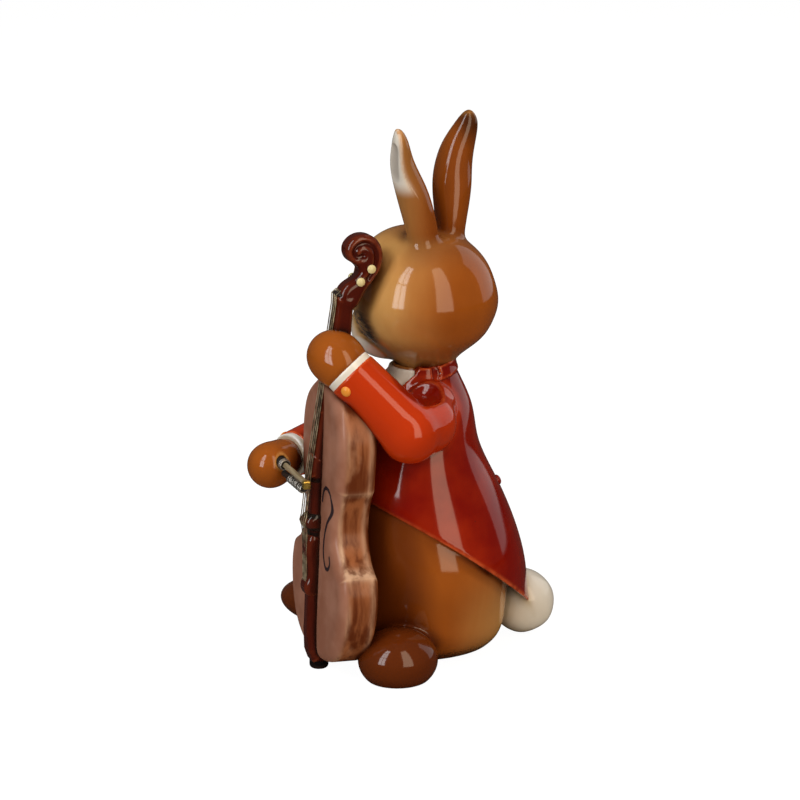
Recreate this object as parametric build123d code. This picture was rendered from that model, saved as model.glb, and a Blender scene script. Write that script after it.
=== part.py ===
"""A glazed ceramic rabbit in a red tailcoat, seated and playing a double bass.

Frame: +Z is up, the rabbit faces -Y, its left is +X, and the origin lies on the surface it stands on,
under the body.  Millimetres.  Neighbouring pieces are cut to one another, so they meet face to face
as luted clay does.  Only the bow, pushed into the bore of the right paw, can be drawn out.
"""
from build123d import *
from math import cos, pi, radians, sin, tan
import os

# Body casting: oval stations from the foot ring to the neck
base_half_width = 12.5
base_half_depth = 17.0
hip_level = 12.0
hip_half_width = 22.0
hip_half_depth = 21.0
haunch_level = 23.0
haunch_half_width = 24.0
haunch_half_depth = 21.2
belly_level = 34.0
belly_half_width = 22.0
belly_half_depth = 19.4
waist_level = 45.0
waist_half_width = 19.5
waist_half_depth = 17.4
chest_level = 56.0
chest_half_width = 16.5
chest_half_depth = 14.0
shoulder_level = 65.0
shoulder_half_width = 13.0
shoulder_half_depth = 10.6
neck_level = 73.0
neck_half_width = 7.6
neck_half_depth = 7.4
body_setback = 3.0
neck_setback = 2.0
body_wall = 3.0
throat_radius = 4.0
vent_diameter = 8.0
vent_setback = 9.0

# Tailcoat, shirt and bow tie
coat_thickness = 1.2
# How far the coat's back stands off the body's, at each of the body's stations from the floor up
coat_sweep = (9.5, 7.8, 5.4, 3.6, 3.6, 1.7, 0.1, 1.3, 0.8)
hem_front_level = 45.0
hem_side_level = 32.0
hem_back_level = 6.0
hem_front_reach = 20.0
hem_back_reach = 35.0
back_vent_width = 1.2
back_vent_top = 37.0
lapel_gap_width = 15.0
lapel_gap_level = 50.0
shirt_thickness = 0.7
collar_height = 1.6
coat_collar_front_drop = 4.0
bow_tie_span = 13.0
bow_tie_height = 5.0
bow_tie_depth = 4.0
bow_tie_drop = 3.2
waist_button_diameter = 2.6
waist_button_height = 0.8
waist_button_level = 43.5
waist_button_spacing = 9.0
cuff_button_diameter = 2.5
cuff_button_height = 0.8
cuff_button_inset = 2.3
left_button_side = (0.6, -0.8, -0.1)
right_button_side = (-0.8, 0.2, 0.4)

# Head and ears
head_radius = 18.2
head_crown = 18.0
head_chin = 17.4
head_sink = 0.4
head_setback = 3.4
head_wall = 3.0
head_turn = 55.0
# Radius at each height of the skull, as shares of the head radius and of the chin or crown height
head_shape = [
    (-1.0, 0.37), (-0.84, 0.415), (-0.70, 0.535), (-0.48, 0.79), (-0.25, 0.93), (0.0, 1.0),
    (0.30, 0.955), (0.58, 0.835), (0.80, 0.645), (0.94, 0.41), (1.0, 0.14),
]
brow_reach = 5.0
brow_rise = 6.0
brow_length_radius = 13.0
brow_width_radius = 15.0
brow_height_radius = 13.0
muzzle_reach = 11.5
muzzle_drop = 7.5
muzzle_length_radius = 9.0
muzzle_width_radius = 9.6
muzzle_height_radius = 8.2
ear_width = 9.8
ear_thickness = 8.6
ear_hollow = 1.5
ear_hollow_share = 0.66
ear_hollow_start = 0.55
ear_hollow_end = 0.9
# At each height of an ear, as shares: its width, its reach to the front and to the back, and its inward bow
ear_shape = [
    (0.0, 0.65, 0.25, 0.60, 0.0), (0.25, 0.84, 0.24, 0.67, 0.08), (0.49, 1.0, 0.27, 0.62, 0.17),
    (0.62, 0.94, 0.26, 0.50, 0.19), (0.75, 0.83, 0.22, 0.37, 0.14), (0.865, 0.67, 0.15, 0.30, 0.055),
    (0.95, 0.50, 0.09, 0.22, 0.0), (1.0, 0.18, 0.02, 0.10, 0.0),
]
ear_spacing = 12.2
ear_setback = 2.8
ear_root_rise = 12.6
left_ear_height = 32.6
left_ear_splay = 7.0
left_ear_nod = 2.5
right_ear_height = 34.8
right_ear_splay = 5.5
right_ear_nod = -2.4
ear_turn = 55.0

# Arms, feet and tail
sleeve_shoulder_radius = 6.6
sleeve_elbow_radius = 7.2
sleeve_elbow_swell = 1.03
left_wrist_radius = 6.5
left_cuff_radius = 5.9
cuff_length = 1.6
left_paw_radius = 6.9
left_paw_level = 80.6
left_paw_side = 2.0
left_paw_forward = 1.1
left_wrist_from_paw = (5.0, 2.9, -3.6)
left_shoulder = (11.5, -2.0, 65.0)
left_elbow = (23.0, -8.8, 63.2)
right_paw_radius = 5.9
right_paw_behind_exit = 4.4
right_paw_below_bow = 1.8
right_paw_before_bow = 1.4
right_wrist_from_paw = (-4.0, 7.4, 1.2)
right_shoulder = (-11.5, 0.0, 61.0)
right_elbow = (-21.0, -12.5, 51.5)
right_wrist_radius = 5.8
right_cuff_radius = 5.2
left_foot_radii = (9.5, 10.0, 7.8)
left_foot_place = (22.5, -12.0, 5.4)
left_foot_turn = 0.0
right_foot_radii = (7.5, 12.6, 5.9)
right_foot_place = (-22.5, -16.2, 7.0)
right_foot_turn = -50.0
tail_radius = 8.6
tail_overlap = 2.3
tail_floor_gap = 0.3

# Double bass: outline half widths and levels, measured up the instrument from the floor
bass_side = 7.0
bass_depth_place = -23.6
bass_lean = 2.5
rib_depth = 7.4
rim_round = 1.4
front_arch = 2.0
back_arch = 0.6
bass_bottom = 2.6
lower_bout = 20.4
lower_bout_level = 20.0
lower_corner = 19.4
lower_corner_level = 28.6
inner_corner = 15.4
inner_corner_level = 30.8
waist_bout = 11.6
waist_bout_level = 39.5
upper_corner = 14.8
upper_corner_level = 48.6
upper_bout = 15.4
upper_bout_level = 60.0
bass_top = 75.0
heel_half_width = 3.6

# Neck, scroll and fittings of the bass
neck_width = 5.5
neck_depth = 2.6
neck_tilt = 9.2
neck_root_drop = 8.0
neck_heel_swell = 2.0
nut_level = 95.6
nut_front = -22.4
nut_height = 0.6
nut_length = 1.2
scroll_width = 5.6
# Steps back from the nut and up from it: the throat, the curl, then down the back of the pegbox
scroll_steps = [
    (0.2, -0.8), (1.6, 2.2), (3.9, 3.7), (5.4, 5.6), (4.7, 6.9), (2.8, 8.3), (1.9, 11.2), (3.2, 13.4),
    (6.2, 14.6), (9.4, 13.6), (11.4, 10.6), (11.5, 7.6), (10.0, 4.2), (6.7, -0.2), (4.4, -3.4), (2.2, -3.6),
]
low_peg_step = (5.3, 3.1)
high_peg_step = (8.1, 6.1)
board_end_level = 50.0
board_thickness = 1.6
board_width = 5.0
peg_head_diameter = 2.1
peg_head_length = 1.0
peg_shank_diameter = 1.1
peg_shank_length = 1.6
strip_width = 5.2
strip_height = 2.2
strip_bottom = 3.4
bridge_level = 38.6
bridge_length = 3.0
bridge_width = 6.4
bridge_height = 3.9
tailpiece_top = 35.0
tailpiece_bottom = 19.6
tailpiece_width = 5.6
tailpiece_top_height = 0.7
tailpiece_bottom_height = 0.5
saddle_length = 1.6
saddle_height = 0.6
pin_diameter = 4.8
pin_rise = 1.0
pin_forward = 0.6
string_diameter = 0.45
string_count = 4
string_spread_nut = 2.7
string_spread_bridge = 4.2
string_spread_tail = 1.8
string_clearance = 0.06
string_room_depth = 2.4
string_bend_radius = 1.2
string_past_nut = 1.6
string_fall_past_nut = 0.8

# Bow: its own frame starts where the stick leaves the paw and runs to the tip
bow_exit = (-3.4, -33.6, 51.4)
bow_yaw = 1.5
bow_pitch = 1.5
bow_stick_diameter = 1.4
bow_length = 19.5
bow_grip_diameter = 2.8
bow_grip_length = 11.8
bow_grip_outside = 3.4
bow_running_clearance = 0.06
bow_butt_gap = 0.4
bow_hair_diameter = 1.8
bow_hair_drop = 2.3
bow_frog_length = 1.2
bow_tip_length = 1.6
bow_tip_width = 2.0

# Levels that follow from the sizes above
collar_level = neck_level - collar_height
head_level = neck_level + head_chin - head_sink
LOW_END = (Align.CENTER, Align.CENTER, Align.MIN)


def largest(shape):
    """The biggest solid of a cut shape: what remains of a piece once its neighbours are taken away."""
    return max(shape.solids(), key=lambda solid: solid.volume)


def seat(piece, *neighbours):
    """Cut a piece to the faces of the neighbours it is luted to."""
    for neighbour in neighbours:
        piece = piece - neighbour
    return largest(piece)


def oval(level, centre_y, half_width, half_depth, count=8):
    """A closed smooth oval face at one level."""
    points = []
    for step in range(count):
        angle = 2 * pi * step / count
        points.append((half_width * cos(angle), centre_y + half_depth * sin(angle), level))
    return Face(Wire([Edge.make_spline(points, periodic=True)]))


def oval_loft(stations):
    """A smooth skin through ovals given as (level, centre y, half width, half depth)."""
    return loft([oval(*station) for station in stations])


def ellipsoid(centre, radii, turn=0.0):
    """An ellipsoid turned about the vertical."""
    ball = scale(Sphere(1.0), by=radii)
    return Pos(*centre) * Rot(0, 0, turn) * ball


def tapered(start, end, start_radius, end_radius):
    """A straight round rod between two points, tapered where its ends differ."""
    run = Vector(*end) - Vector(*start)
    place = Plane(origin=start, z_dir=run)
    if start_radius == end_radius:
        return place * Cylinder(start_radius, run.length, align=LOW_END)
    return place * Cone(start_radius, end_radius, run.length, align=LOW_END)


def offset_point(point, step):
    """A point moved by a step."""
    return tuple(a + b for a, b in zip(point, step))


# Body, coat, shirt, tie and tail


def body_stations(grow=0.0):
    """Stations of the body casting, or of a skin a given thickness outside it."""
    return [
        (0.0, body_setback, base_half_width + grow, base_half_depth + grow),
        (0.35 * hip_level, body_setback, 0.35 * base_half_width + 0.65 * hip_half_width + grow,
         0.35 * base_half_depth + 0.65 * hip_half_depth + grow),
        (hip_level, body_setback, hip_half_width + grow, hip_half_depth + grow),
        (haunch_level, body_setback, haunch_half_width + grow, haunch_half_depth + grow),
        (belly_level, 0.6 * body_setback, belly_half_width + grow, belly_half_depth + grow),
        (waist_level, 0.3 * body_setback, waist_half_width + grow, waist_half_depth + grow),
        (chest_level, 0.5 * neck_setback, chest_half_width + grow, chest_half_depth + grow),
        (shoulder_level, 0.8 * neck_setback, shoulder_half_width + grow, shoulder_half_depth + grow),
        (neck_level, neck_setback, neck_half_width + grow, neck_half_depth + grow),
    ]


def make_body():
    """The hollow body casting with its throat and the vent hole in its base, and its outer form."""
    form = oval_loft(body_stations())
    inner = body_stations(-body_wall)[1:-1]
    inner[0] = (body_wall,) + inner[0][1:]
    throat_reach = neck_level - shoulder_level + body_wall
    throat = Pos(0, neck_setback, neck_level) * Cylinder(throat_radius, 2 * throat_reach)
    vent = Pos(0, vent_setback, 0) * Cylinder(0.5 * vent_diameter, 4 * body_wall)
    return form, largest(form - oval_loft(inner) - throat - vent)


def make_tail():
    """The round tail behind the hips, just off the floor."""
    back = body_setback + hip_half_depth - tail_overlap + tail_radius
    return Pos(0, back, tail_radius + tail_floor_gap) * Sphere(tail_radius)


def coat_stations():
    """The coat skin: close to the body at the waist, swept back into tails below it."""
    stations = []
    for station, sweep in zip(body_stations(coat_thickness), coat_sweep):
        level, centre_y, half_width, half_depth = station
        stations.append((level, centre_y + 0.5 * sweep, half_width, half_depth + 0.5 * sweep))
    return stations


def hem_region():
    """Between the hem, which falls from the front waist to the tails, and the sloping collar."""
    reach = 2 * hem_back_reach
    collar_back = neck_level
    collar_front = neck_level - coat_collar_front_drop
    collar_turn = neck_setback - 0.25 * neck_half_depth
    collar_end = neck_setback - neck_half_depth - coat_thickness
    front = (-hem_front_reach, hem_front_level)
    side = (body_setback, hem_side_level)
    back = (hem_back_reach, hem_back_level)
    outline = Curve() + [
        Line((-reach, hem_front_level), front),
        ThreePointArc(front, side, back),
        Line(back, (reach, hem_back_level)),
        Line((reach, hem_back_level), (reach, collar_back)),
        Line((reach, collar_back), (collar_turn, collar_back)),
        Line((collar_turn, collar_back), (collar_end, collar_front)),
        Line((collar_end, collar_front), (-reach, collar_front)),
        Line((-reach, collar_front), (-reach, hem_front_level)),
    ]
    return extrude(Plane.YZ * make_face(outline), amount=reach, both=True)


def lapel_gap():
    """The V between the lapels, open to the front."""
    top = neck_level
    half = 0.5 * lapel_gap_width
    vee = Wire.make_polygon([(0, 0, lapel_gap_level), (half, 0, top), (-half, 0, top)])
    return extrude(Face(vee), amount=3 * chest_half_depth, dir=(0, -1, 0))


def make_coat(body_form, tail):
    """The tailcoat: a skin over the body above the hem, open in front and split behind."""
    skin = oval_loft(coat_stations()) & hem_region()
    split = Box(back_vent_width, 2 * hem_back_reach, back_vent_top,
                align=(Align.CENTER, Align.MIN, Align.MIN))
    return seat(skin, body_form, split, lapel_gap(), tail)


def make_shirt(body_form):
    """The shirt front in the lapel gap, with the standing collar round the neck."""
    skin = oval_loft(body_stations(shirt_thickness)) - body_form
    band = Pos(0, 0, collar_level) * Box(
        4 * neck_half_width, 4 * neck_half_width, collar_height, align=LOW_END)
    return largest(skin & lapel_gap() + band)


def make_bow_tie():
    """Two puffed wings and a knot at the front of the collar."""
    level = neck_level - bow_tie_drop
    y = neck_setback - neck_half_depth - 0.5 * bow_tie_depth
    wing_radii = (0.27 * bow_tie_span, 0.5 * bow_tie_depth, 0.5 * bow_tie_height)
    knot_radii = (0.13 * bow_tie_span, 0.55 * bow_tie_depth, 0.32 * bow_tie_height)
    tie = ellipsoid((0, y, level), knot_radii)
    for side in (1, -1):
        tie = tie + ellipsoid((side * 0.25 * bow_tie_span, y + 0.2 * bow_tie_depth, level), wing_radii)
    return tie


def make_waist_buttons(coat):
    """Two domed buttons at the back of the waist, half sunk in the coat."""
    buttons = []
    for side in (1, -1):
        x = 0.5 * side * waist_button_spacing
        reach = 3 * waist_half_depth
        probe = Pos(x, 0.5 * reach, waist_button_level) * Box(0.1, reach, 0.1)
        surface = (probe & coat).bounding_box().max.Y
        radii = (0.5 * waist_button_diameter, waist_button_height, 0.5 * waist_button_diameter)
        buttons.append(seat(ellipsoid((x, surface, waist_button_level), radii), coat))
    return buttons


# Head and ears


def on_head(forward, left, up):
    """A place on the head, given along its own forward, left and up directions."""
    turn = radians(head_turn)
    x = -forward * sin(turn) + left * cos(turn)
    y = head_setback - forward * cos(turn) - left * sin(turn)
    return (x, y, head_level + up)


def make_head():
    """The hollow head: a round skull with a low muzzle, turned to the rabbit's right."""
    def skull(inset):
        stations = []
        for height_share, radius_share in head_shape:
            reach = head_crown if height_share > 0 else head_chin
            radius = radius_share * (head_radius - inset)
            stations.append((head_level + height_share * (reach - inset), head_setback, radius, radius))
        return oval_loft(stations)

    brow = ellipsoid(on_head(brow_reach, 0, brow_rise),
                     (brow_width_radius, brow_length_radius, brow_height_radius), -head_turn)
    muzzle = ellipsoid(on_head(muzzle_reach, 0, -muzzle_drop),
                       (muzzle_width_radius, muzzle_length_radius, muzzle_height_radius), -head_turn)
    throat = Pos(0, neck_setback, head_level - head_chin) * Cylinder(throat_radius, 2 * head_wall + 2)
    form = skull(0.0) + brow + muzzle
    return form, largest(form - skull(head_wall) - throat)


def make_ear(side, height, splay, nod):
    """A leaf-shaped ear with a hollow in its outward side; side is 1 for the left ear."""
    root = Vector(*on_head(-ear_setback, 0.5 * side * ear_spacing, ear_root_rise))
    tip = Vector(*on_head(nod - ear_setback, side * (0.5 * ear_spacing + splay), ear_root_rise + height))
    run = tip - root
    turn = radians(head_turn - side * ear_turn)
    sideways = Vector(cos(turn), -sin(turn), 0)
    skin = []
    scoop = []
    for along, width_share, front_share, back_share, bow_share in ear_shape:
        place = Plane(origin=root + run * along, x_dir=sideways, z_dir=run)
        half_width = 0.5 * ear_width * width_share
        front = ear_thickness * front_share
        back = ear_thickness * back_share
        bow = -side * ear_width * bow_share
        skin.append(place * Pos(bow, 0.5 * (back - front), 0) * Ellipse(half_width, 0.5 * (front + back)))
        if ear_hollow_start < along < ear_hollow_end:
            hollow = Ellipse(ear_hollow_share * half_width, ear_hollow * width_share)
            scoop.append(place * Pos(bow, -front, 0) * hollow)
    return largest(loft(skin) - loft(scoop))


# Arms and feet


def make_sleeve(shoulder, elbow, wrist, wrist_radius):
    """A sleeve from shoulder to wrist, bent at the elbow."""
    upper = tapered(shoulder, elbow, sleeve_shoulder_radius, sleeve_elbow_radius)
    bend = Pos(*elbow) * Sphere(sleeve_elbow_swell * sleeve_elbow_radius)
    lower = tapered(elbow, wrist, sleeve_elbow_radius, wrist_radius)
    return upper + bend + lower


def make_cuff(elbow, wrist, radius):
    """A shirt cuff: a short round band past the end of the sleeve."""
    along = (Vector(*wrist) - Vector(*elbow)).normalized()
    end = Vector(*wrist) + along * cuff_length
    return tapered(wrist, tuple(end), radius, radius)


def make_cuff_button(sleeve, elbow, wrist, wrist_radius, outward):
    """A small domed button on the outer side of a sleeve, near its end."""
    along = (Vector(*wrist) - Vector(*elbow)).normalized()
    away = Vector(*outward) - along * Vector(*outward).dot(along)
    centre = Vector(*wrist) - along * cuff_button_inset + away.normalized() * wrist_radius
    radius = 0.5 * cuff_button_diameter
    dome = scale(Sphere(1.0), by=(radius, radius, cuff_button_height))
    return seat(Plane(origin=centre, z_dir=away) * dome, sleeve)


def make_foot(place, radii, turn):
    """A rounded foot, cut flat where it reaches the floor."""
    form = ellipsoid(place, radii, turn)
    reach = 4 * (radii[1] + abs(place[0]) + abs(place[1]))
    floor = Box(reach, reach, 2 * radii[2], align=(Align.CENTER, Align.CENTER, Align.MAX))
    return largest(form - floor)


# Double bass


def bass_outline(inset):
    """The outline of the bass body in its own X, Z plane, drawn in by an inset."""
    heel = (heel_half_width - 0.25 * inset, bass_top - inset)
    top = bass_top - inset
    bottom = bass_bottom + inset
    shoulder = (0.82 * (upper_bout - inset), top - 0.42 * (bass_top - upper_bout_level))
    bout = (upper_bout - inset, upper_bout_level)
    corner = (upper_corner - inset, upper_corner_level)
    waist = (waist_bout - inset, waist_bout_level)
    inner = (inner_corner - inset, inner_corner_level)
    low_corner = (lower_corner - inset, lower_corner_level)
    low_bout = (lower_bout - inset, lower_bout_level)
    low_round = (0.76 * (lower_bout - inset), bottom + 0.32 * (lower_bout_level - bottom))
    right = [
        Spline(heel, shoulder, bout, corner, tangents=((0.6, -0.8), (-0.15, -1.0))),
        ThreePointArc(corner, waist, inner),
        Line(inner, low_corner),
        Spline(low_corner, low_bout, low_round, (0.0, bottom), tangents=((0.5, -0.9), (-1.0, 0.0))),
    ]
    left = [mirror(edge, about=Plane.YZ) for edge in right]
    lid = Line((-heel[0], heel[1]), heel)
    return make_face(Curve() + right + left + [lid])


def bass_place():
    """Frame of the bass: origin on the floor, Z up the instrument, Y from front to back."""
    return Pos(bass_side, bass_depth_place, 0) * Rot(-bass_lean, 0, 0)


def make_bass_body():
    """The bass body: a soft cushion of a box, from a domed front to a nearly flat back."""
    edge = 0.5 * rib_depth
    layers = [
        (-edge - front_arch, 5.0 * rim_round),
        (-edge - 0.7 * front_arch, 2.4 * rim_round),
        (-edge, 0.6 * rim_round),
        (-edge + rim_round, 0.0),
        (edge - rim_round, 0.0),
        (edge, 0.6 * rim_round),
        (edge + back_arch, 2.0 * rim_round),
    ]
    sheets = [Plane.XZ.offset(-depth) * bass_outline(inset) for depth, inset in layers]
    return largest(bass_place() * loft(sheets))


def bass_front(level):
    """World y of the flat crown of the bass front at a given height."""
    return bass_depth_place - 0.5 * rib_depth - front_arch + level * tan(radians(bass_lean))


def board_front(level):
    """World y of the fingerboard's playing face at a given height."""
    return nut_front - (nut_level - level) * tan(radians(neck_tilt))


def side_bar(points, width, smooth=False):
    """A bar of one side profile, given as (y, z), centred on the bass."""
    corners = [(0, y, z) for y, z in points]
    if smooth:
        wire = Wire([Edge.make_spline(corners, periodic=True)])
    else:
        wire = Wire.make_polygon(corners)
    return Pos(bass_side, 0, 0) * extrude(Face(wire), amount=0.5 * width, dir=(1, 0, 0), both=True)


def make_neck(bass_body):
    """Neck, pegbox and scroll in one piece, the scroll curling forward over the pegbox."""
    root_level = bass_top - neck_root_drop
    behind = board_thickness + neck_depth
    shaft = side_bar([
        (board_front(root_level) + board_thickness, root_level),
        (board_front(nut_level) + board_thickness, nut_level),
        (board_front(nut_level) + behind, nut_level),
        (board_front(root_level) + behind + neck_heel_swell, root_level),
    ], neck_width)
    profile = [(nut_front + back, nut_level + up) for back, up in scroll_steps]
    scroll = side_bar(profile, scroll_width, smooth=True)
    return seat(shaft + scroll, bass_body)


def make_fingerboard(bass_body, neck):
    """The dark playing board: on the neck, then on down to the bass front."""
    end = board_end_level
    top = nut_level - 0.5 * nut_length
    board = side_bar([
        (board_front(top), top),
        (board_front(end), end),
        (bass_front(end) + 0.5 * rib_depth, end),
        (bass_front(bass_top) + 0.5 * rib_depth, bass_top - 0.5 * neck_root_drop),
        (board_front(top) + board_thickness, top),
    ], board_width)
    return seat(board, bass_body, neck)


def make_nut(neck, board):
    """The small ledge that lifts the strings at the top of the fingerboard."""
    top = nut_level + 0.5 * nut_length
    bottom = nut_level - 0.5 * nut_length
    ledge = side_bar([
        (board_front(nut_level) - nut_height, nut_level),
        (board_front(bottom), bottom),
        (board_front(bottom) + board_thickness, bottom),
        (board_front(top) + board_thickness, top),
    ], board_width)
    return seat(ledge, neck, board)


def front_block(top, bottom, top_height, bottom_height, width):
    """A raised block on the centre line of the bass front, sunk to be cut to what is under it."""
    return side_bar([
        (bass_front(top) - top_height, top),
        (bass_front(bottom) - bottom_height, bottom),
        (bass_front(bottom) + front_arch, bottom),
        (bass_front(top) + front_arch, top),
    ], width)


def make_bridge():
    """The bridge: a block that narrows to a crest under the strings."""
    top = bridge_level + 0.5 * bridge_length
    bottom = bridge_level - 0.5 * bridge_length
    return side_bar([
        (bass_front(bridge_level) - bridge_height, bridge_level),
        (bass_front(bottom) - 0.75 * bridge_height, bottom),
        (bass_front(bottom) + front_arch, bottom),
        (bass_front(top) + front_arch, top),
        (bass_front(top) - 0.75 * bridge_height, top),
    ], bridge_width)


def make_strip(bass_body, board):
    """The low dark strip down the middle of the front, from the fingerboard to the lower edge."""
    bend = bass_bottom + 4.0 * rim_round
    strip = side_bar([
        (bass_front(board_end_level) - strip_height, board_end_level),
        (bass_front(bend) - strip_height, bend),
        (bass_front(strip_bottom) + 0.4 * front_arch, strip_bottom),
        (bass_front(strip_bottom) + 0.5 * rib_depth, strip_bottom),
        (bass_front(board_end_level) + front_arch, board_end_level),
    ], strip_width)
    return seat(strip, bass_body, board)


def make_end_pin(bass_body, strip):
    """The black foot of the bass: a blunt pin from the end of the strip to the floor."""
    y = bass_front(0) + 0.5 * pin_diameter - pin_forward
    pin = Pos(bass_side, y, 0) * Cylinder(0.5 * pin_diameter, strip_bottom + pin_rise, align=LOW_END)
    pin = fillet(pin.edges().group_by(Axis.Z)[0], 0.2 * pin_diameter)
    return seat(pin, bass_body, strip)


def make_tailpiece():
    """The tailpiece with the raised saddle that holds the string ends."""
    top_height = strip_height + tailpiece_top_height
    bottom_height = strip_height + tailpiece_bottom_height
    plate = front_block(tailpiece_top, tailpiece_bottom, top_height, bottom_height, tailpiece_width)
    saddle_rise = bottom_height + saddle_height
    saddle = front_block(tailpiece_bottom + saddle_length, tailpiece_bottom, saddle_rise, saddle_rise,
                         tailpiece_width)
    return plate + saddle


def peg_places():
    """Peg centres on the pegbox cheeks as (y, z, side)."""
    places = []
    for back, up in (low_peg_step, high_peg_step):
        for side in (1, -1):
            places.append((nut_front + back, nut_level + up, side))
    return places


def make_pegs(neck):
    """Four pins pushed into the pegbox cheeks, and the pegbox drilled for them."""
    pegs = []
    for y, z, side in peg_places():
        cheek = (bass_side + 0.5 * side * scroll_width, y, z)
        inward = Plane(origin=cheek, z_dir=(-side, 0, 0))
        outward = Plane(origin=cheek, z_dir=(side, 0, 0))
        shank = inward * Cylinder(0.5 * peg_shank_diameter, peg_shank_length, align=LOW_END)
        blank = Cylinder(0.5 * peg_head_diameter, peg_head_length, align=LOW_END)
        head = outward * fillet(blank.edges().group_by(Axis.Z)[-1], 0.3 * peg_head_length)
        neck = neck - shank
        pegs.append(largest(head + shank))
    return pegs, largest(neck)


def string_points(index):
    """Corner points of one string: pegbox, nut, bridge and saddle."""
    share = index / (string_count - 1) - 0.5
    lift = 0.5 * string_diameter + string_clearance
    nut_x = bass_side + share * string_spread_nut
    bridge_x = bass_side + share * string_spread_bridge
    tail_x = bass_side + share * string_spread_tail
    over_nut = nut_level + 0.5 * nut_length + string_past_nut
    end = tailpiece_bottom + saddle_length + string_clearance
    end_height = strip_height + tailpiece_bottom_height + 0.25 * saddle_height
    return [
        (nut_x, board_front(over_nut) - nut_height + string_fall_past_nut, over_nut),
        (nut_x, board_front(nut_level) - nut_height - lift, nut_level),
        (bridge_x, bass_front(bridge_level) - bridge_height - lift, bridge_level),
        (tail_x, bass_front(end) - end_height - lift, end),
    ]


def make_strings():
    """Four wires over nut and bridge, each with straight runs and two small bends."""
    wires = []
    for index in range(string_count):
        points = string_points(index)
        path = FilletPolyline(*points, radius=string_bend_radius)
        start = Plane(origin=points[0], z_dir=Vector(*points[1]) - Vector(*points[0]))
        wires.append(largest(sweep(start * Circle(0.5 * string_diameter), path=path)))
    return wires


# Bow


def bow_place():
    """Frame of the bow: Z runs from the paw to the tip, X points up from the stick."""
    yaw = radians(bow_yaw)
    pitch = radians(bow_pitch)
    along = Vector(cos(pitch) * cos(yaw), cos(pitch) * sin(yaw), -sin(pitch))
    return Plane(origin=bow_exit, x_dir=(sin(pitch), 0, cos(pitch)), z_dir=along)


def bow_point(up, along):
    """A world point in the bow's frame."""
    place = bow_place()
    return tuple(place.origin + place.x_dir * up + place.z_dir * along)


def make_bow():
    """Stick, wound grip with its frog, hair and tip."""
    place = bow_place()
    butt = bow_grip_outside - bow_grip_length
    stick = place * Pos(0, 0, butt) * Cylinder(
        0.5 * bow_stick_diameter, bow_length - bow_tip_length - butt, align=LOW_END)
    winding = Pos(0, 0, butt) * Cylinder(0.5 * bow_grip_diameter, bow_grip_length, align=LOW_END)
    frog_height = bow_hair_drop + 0.5 * bow_hair_diameter
    frog = Pos(0, 0, bow_grip_outside - bow_frog_length) * Box(
        frog_height, bow_hair_diameter, bow_frog_length, align=(Align.MAX, Align.CENTER, Align.MIN))
    grip = seat(place * (winding + frog), stick)
    hair_length = bow_length - bow_tip_length - bow_grip_outside
    hair = place * Pos(-bow_hair_drop, 0, bow_grip_outside) * Cylinder(
        0.5 * bow_hair_diameter, hair_length, align=LOW_END)
    tip_height = frog_height + 0.5 * bow_tip_width
    tip = place * Pos(0.5 * bow_tip_width, 0, bow_length - bow_tip_length) * Box(
        tip_height, bow_tip_width, bow_tip_length, align=(Align.MAX, Align.CENTER, Align.MIN))
    return dict(bow_stick=stick, bow_grip=grip, bow_hair=hair, bow_tip=tip)


def bow_bore():
    """The hole in the paw that the wound grip is pushed into."""
    butt = bow_grip_outside - bow_grip_length
    depth = right_paw_radius * 2
    radius = 0.5 * bow_grip_diameter + bow_running_clearance
    return bow_place() * Pos(0, 0, butt - bow_butt_gap) * Cylinder(radius, depth - butt, align=LOW_END)


# The whole figurine


def string_room():
    """The space the left paw leaves free for the strings over the fingerboard."""
    bottom = left_paw_level - 2 * left_paw_radius
    return side_bar([
        (board_front(bottom) - string_room_depth, bottom),
        (board_front(nut_level) - string_room_depth, nut_level),
        (board_front(nut_level) + board_thickness, nut_level),
        (board_front(bottom) + board_thickness, bottom),
    ], board_width)


def build_bass(nodes):
    """The bass with its fittings, each cut to what it sits on."""
    bass_body = make_bass_body()
    pegs, neck = make_pegs(make_neck(bass_body))
    board = make_fingerboard(bass_body, neck)
    strip = make_strip(bass_body, board)
    nodes.update(bass_body=bass_body, bass_neck=neck, fingerboard=board, bass_strip=strip)
    nodes.update(nut=make_nut(neck, board))
    nodes.update(bridge=seat(make_bridge(), bass_body, strip))
    nodes.update(tailpiece=seat(make_tailpiece(), bass_body, strip))
    nodes.update(end_pin=make_end_pin(bass_body, strip))
    nodes.update(tuning_pegs=Compound(children=pegs), strings=Compound(children=make_strings()))


def build_figure(nodes):
    """Body, clothes, head, ears, feet and tail.  Returns the outer forms of body and head."""
    bass_body = nodes["bass_body"]
    body_form, body = make_body()
    body_form = body_form - bass_body
    head_form, head = make_head()
    head_form = head_form - body_form
    tail = seat(make_tail(), body_form)
    coat = seat(make_coat(body_form, tail), bass_body, head_form)
    shirt = seat(make_shirt(body_form), coat, bass_body, head_form)
    nodes.update(body=seat(body, bass_body), tail=tail, tailcoat=coat, shirt=shirt)
    nodes.update(head=seat(head, body_form))
    nodes.update(bow_tie=seat(make_bow_tie(), body_form, shirt, coat, head_form))
    nodes.update(waist_buttons=Compound(children=make_waist_buttons(coat)))
    left_ear = make_ear(1, left_ear_height, left_ear_splay, left_ear_nod)
    right_ear = make_ear(-1, right_ear_height, right_ear_splay, right_ear_nod)
    nodes.update(left_ear=seat(left_ear, head_form), right_ear=seat(right_ear, head_form))
    left_foot = make_foot(left_foot_place, left_foot_radii, left_foot_turn)
    right_foot = make_foot(right_foot_place, right_foot_radii, right_foot_turn)
    nodes.update(left_foot=seat(left_foot, body_form, bass_body))
    nodes.update(right_foot=seat(right_foot, body_form, bass_body))
    return body_form, head_form


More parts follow.
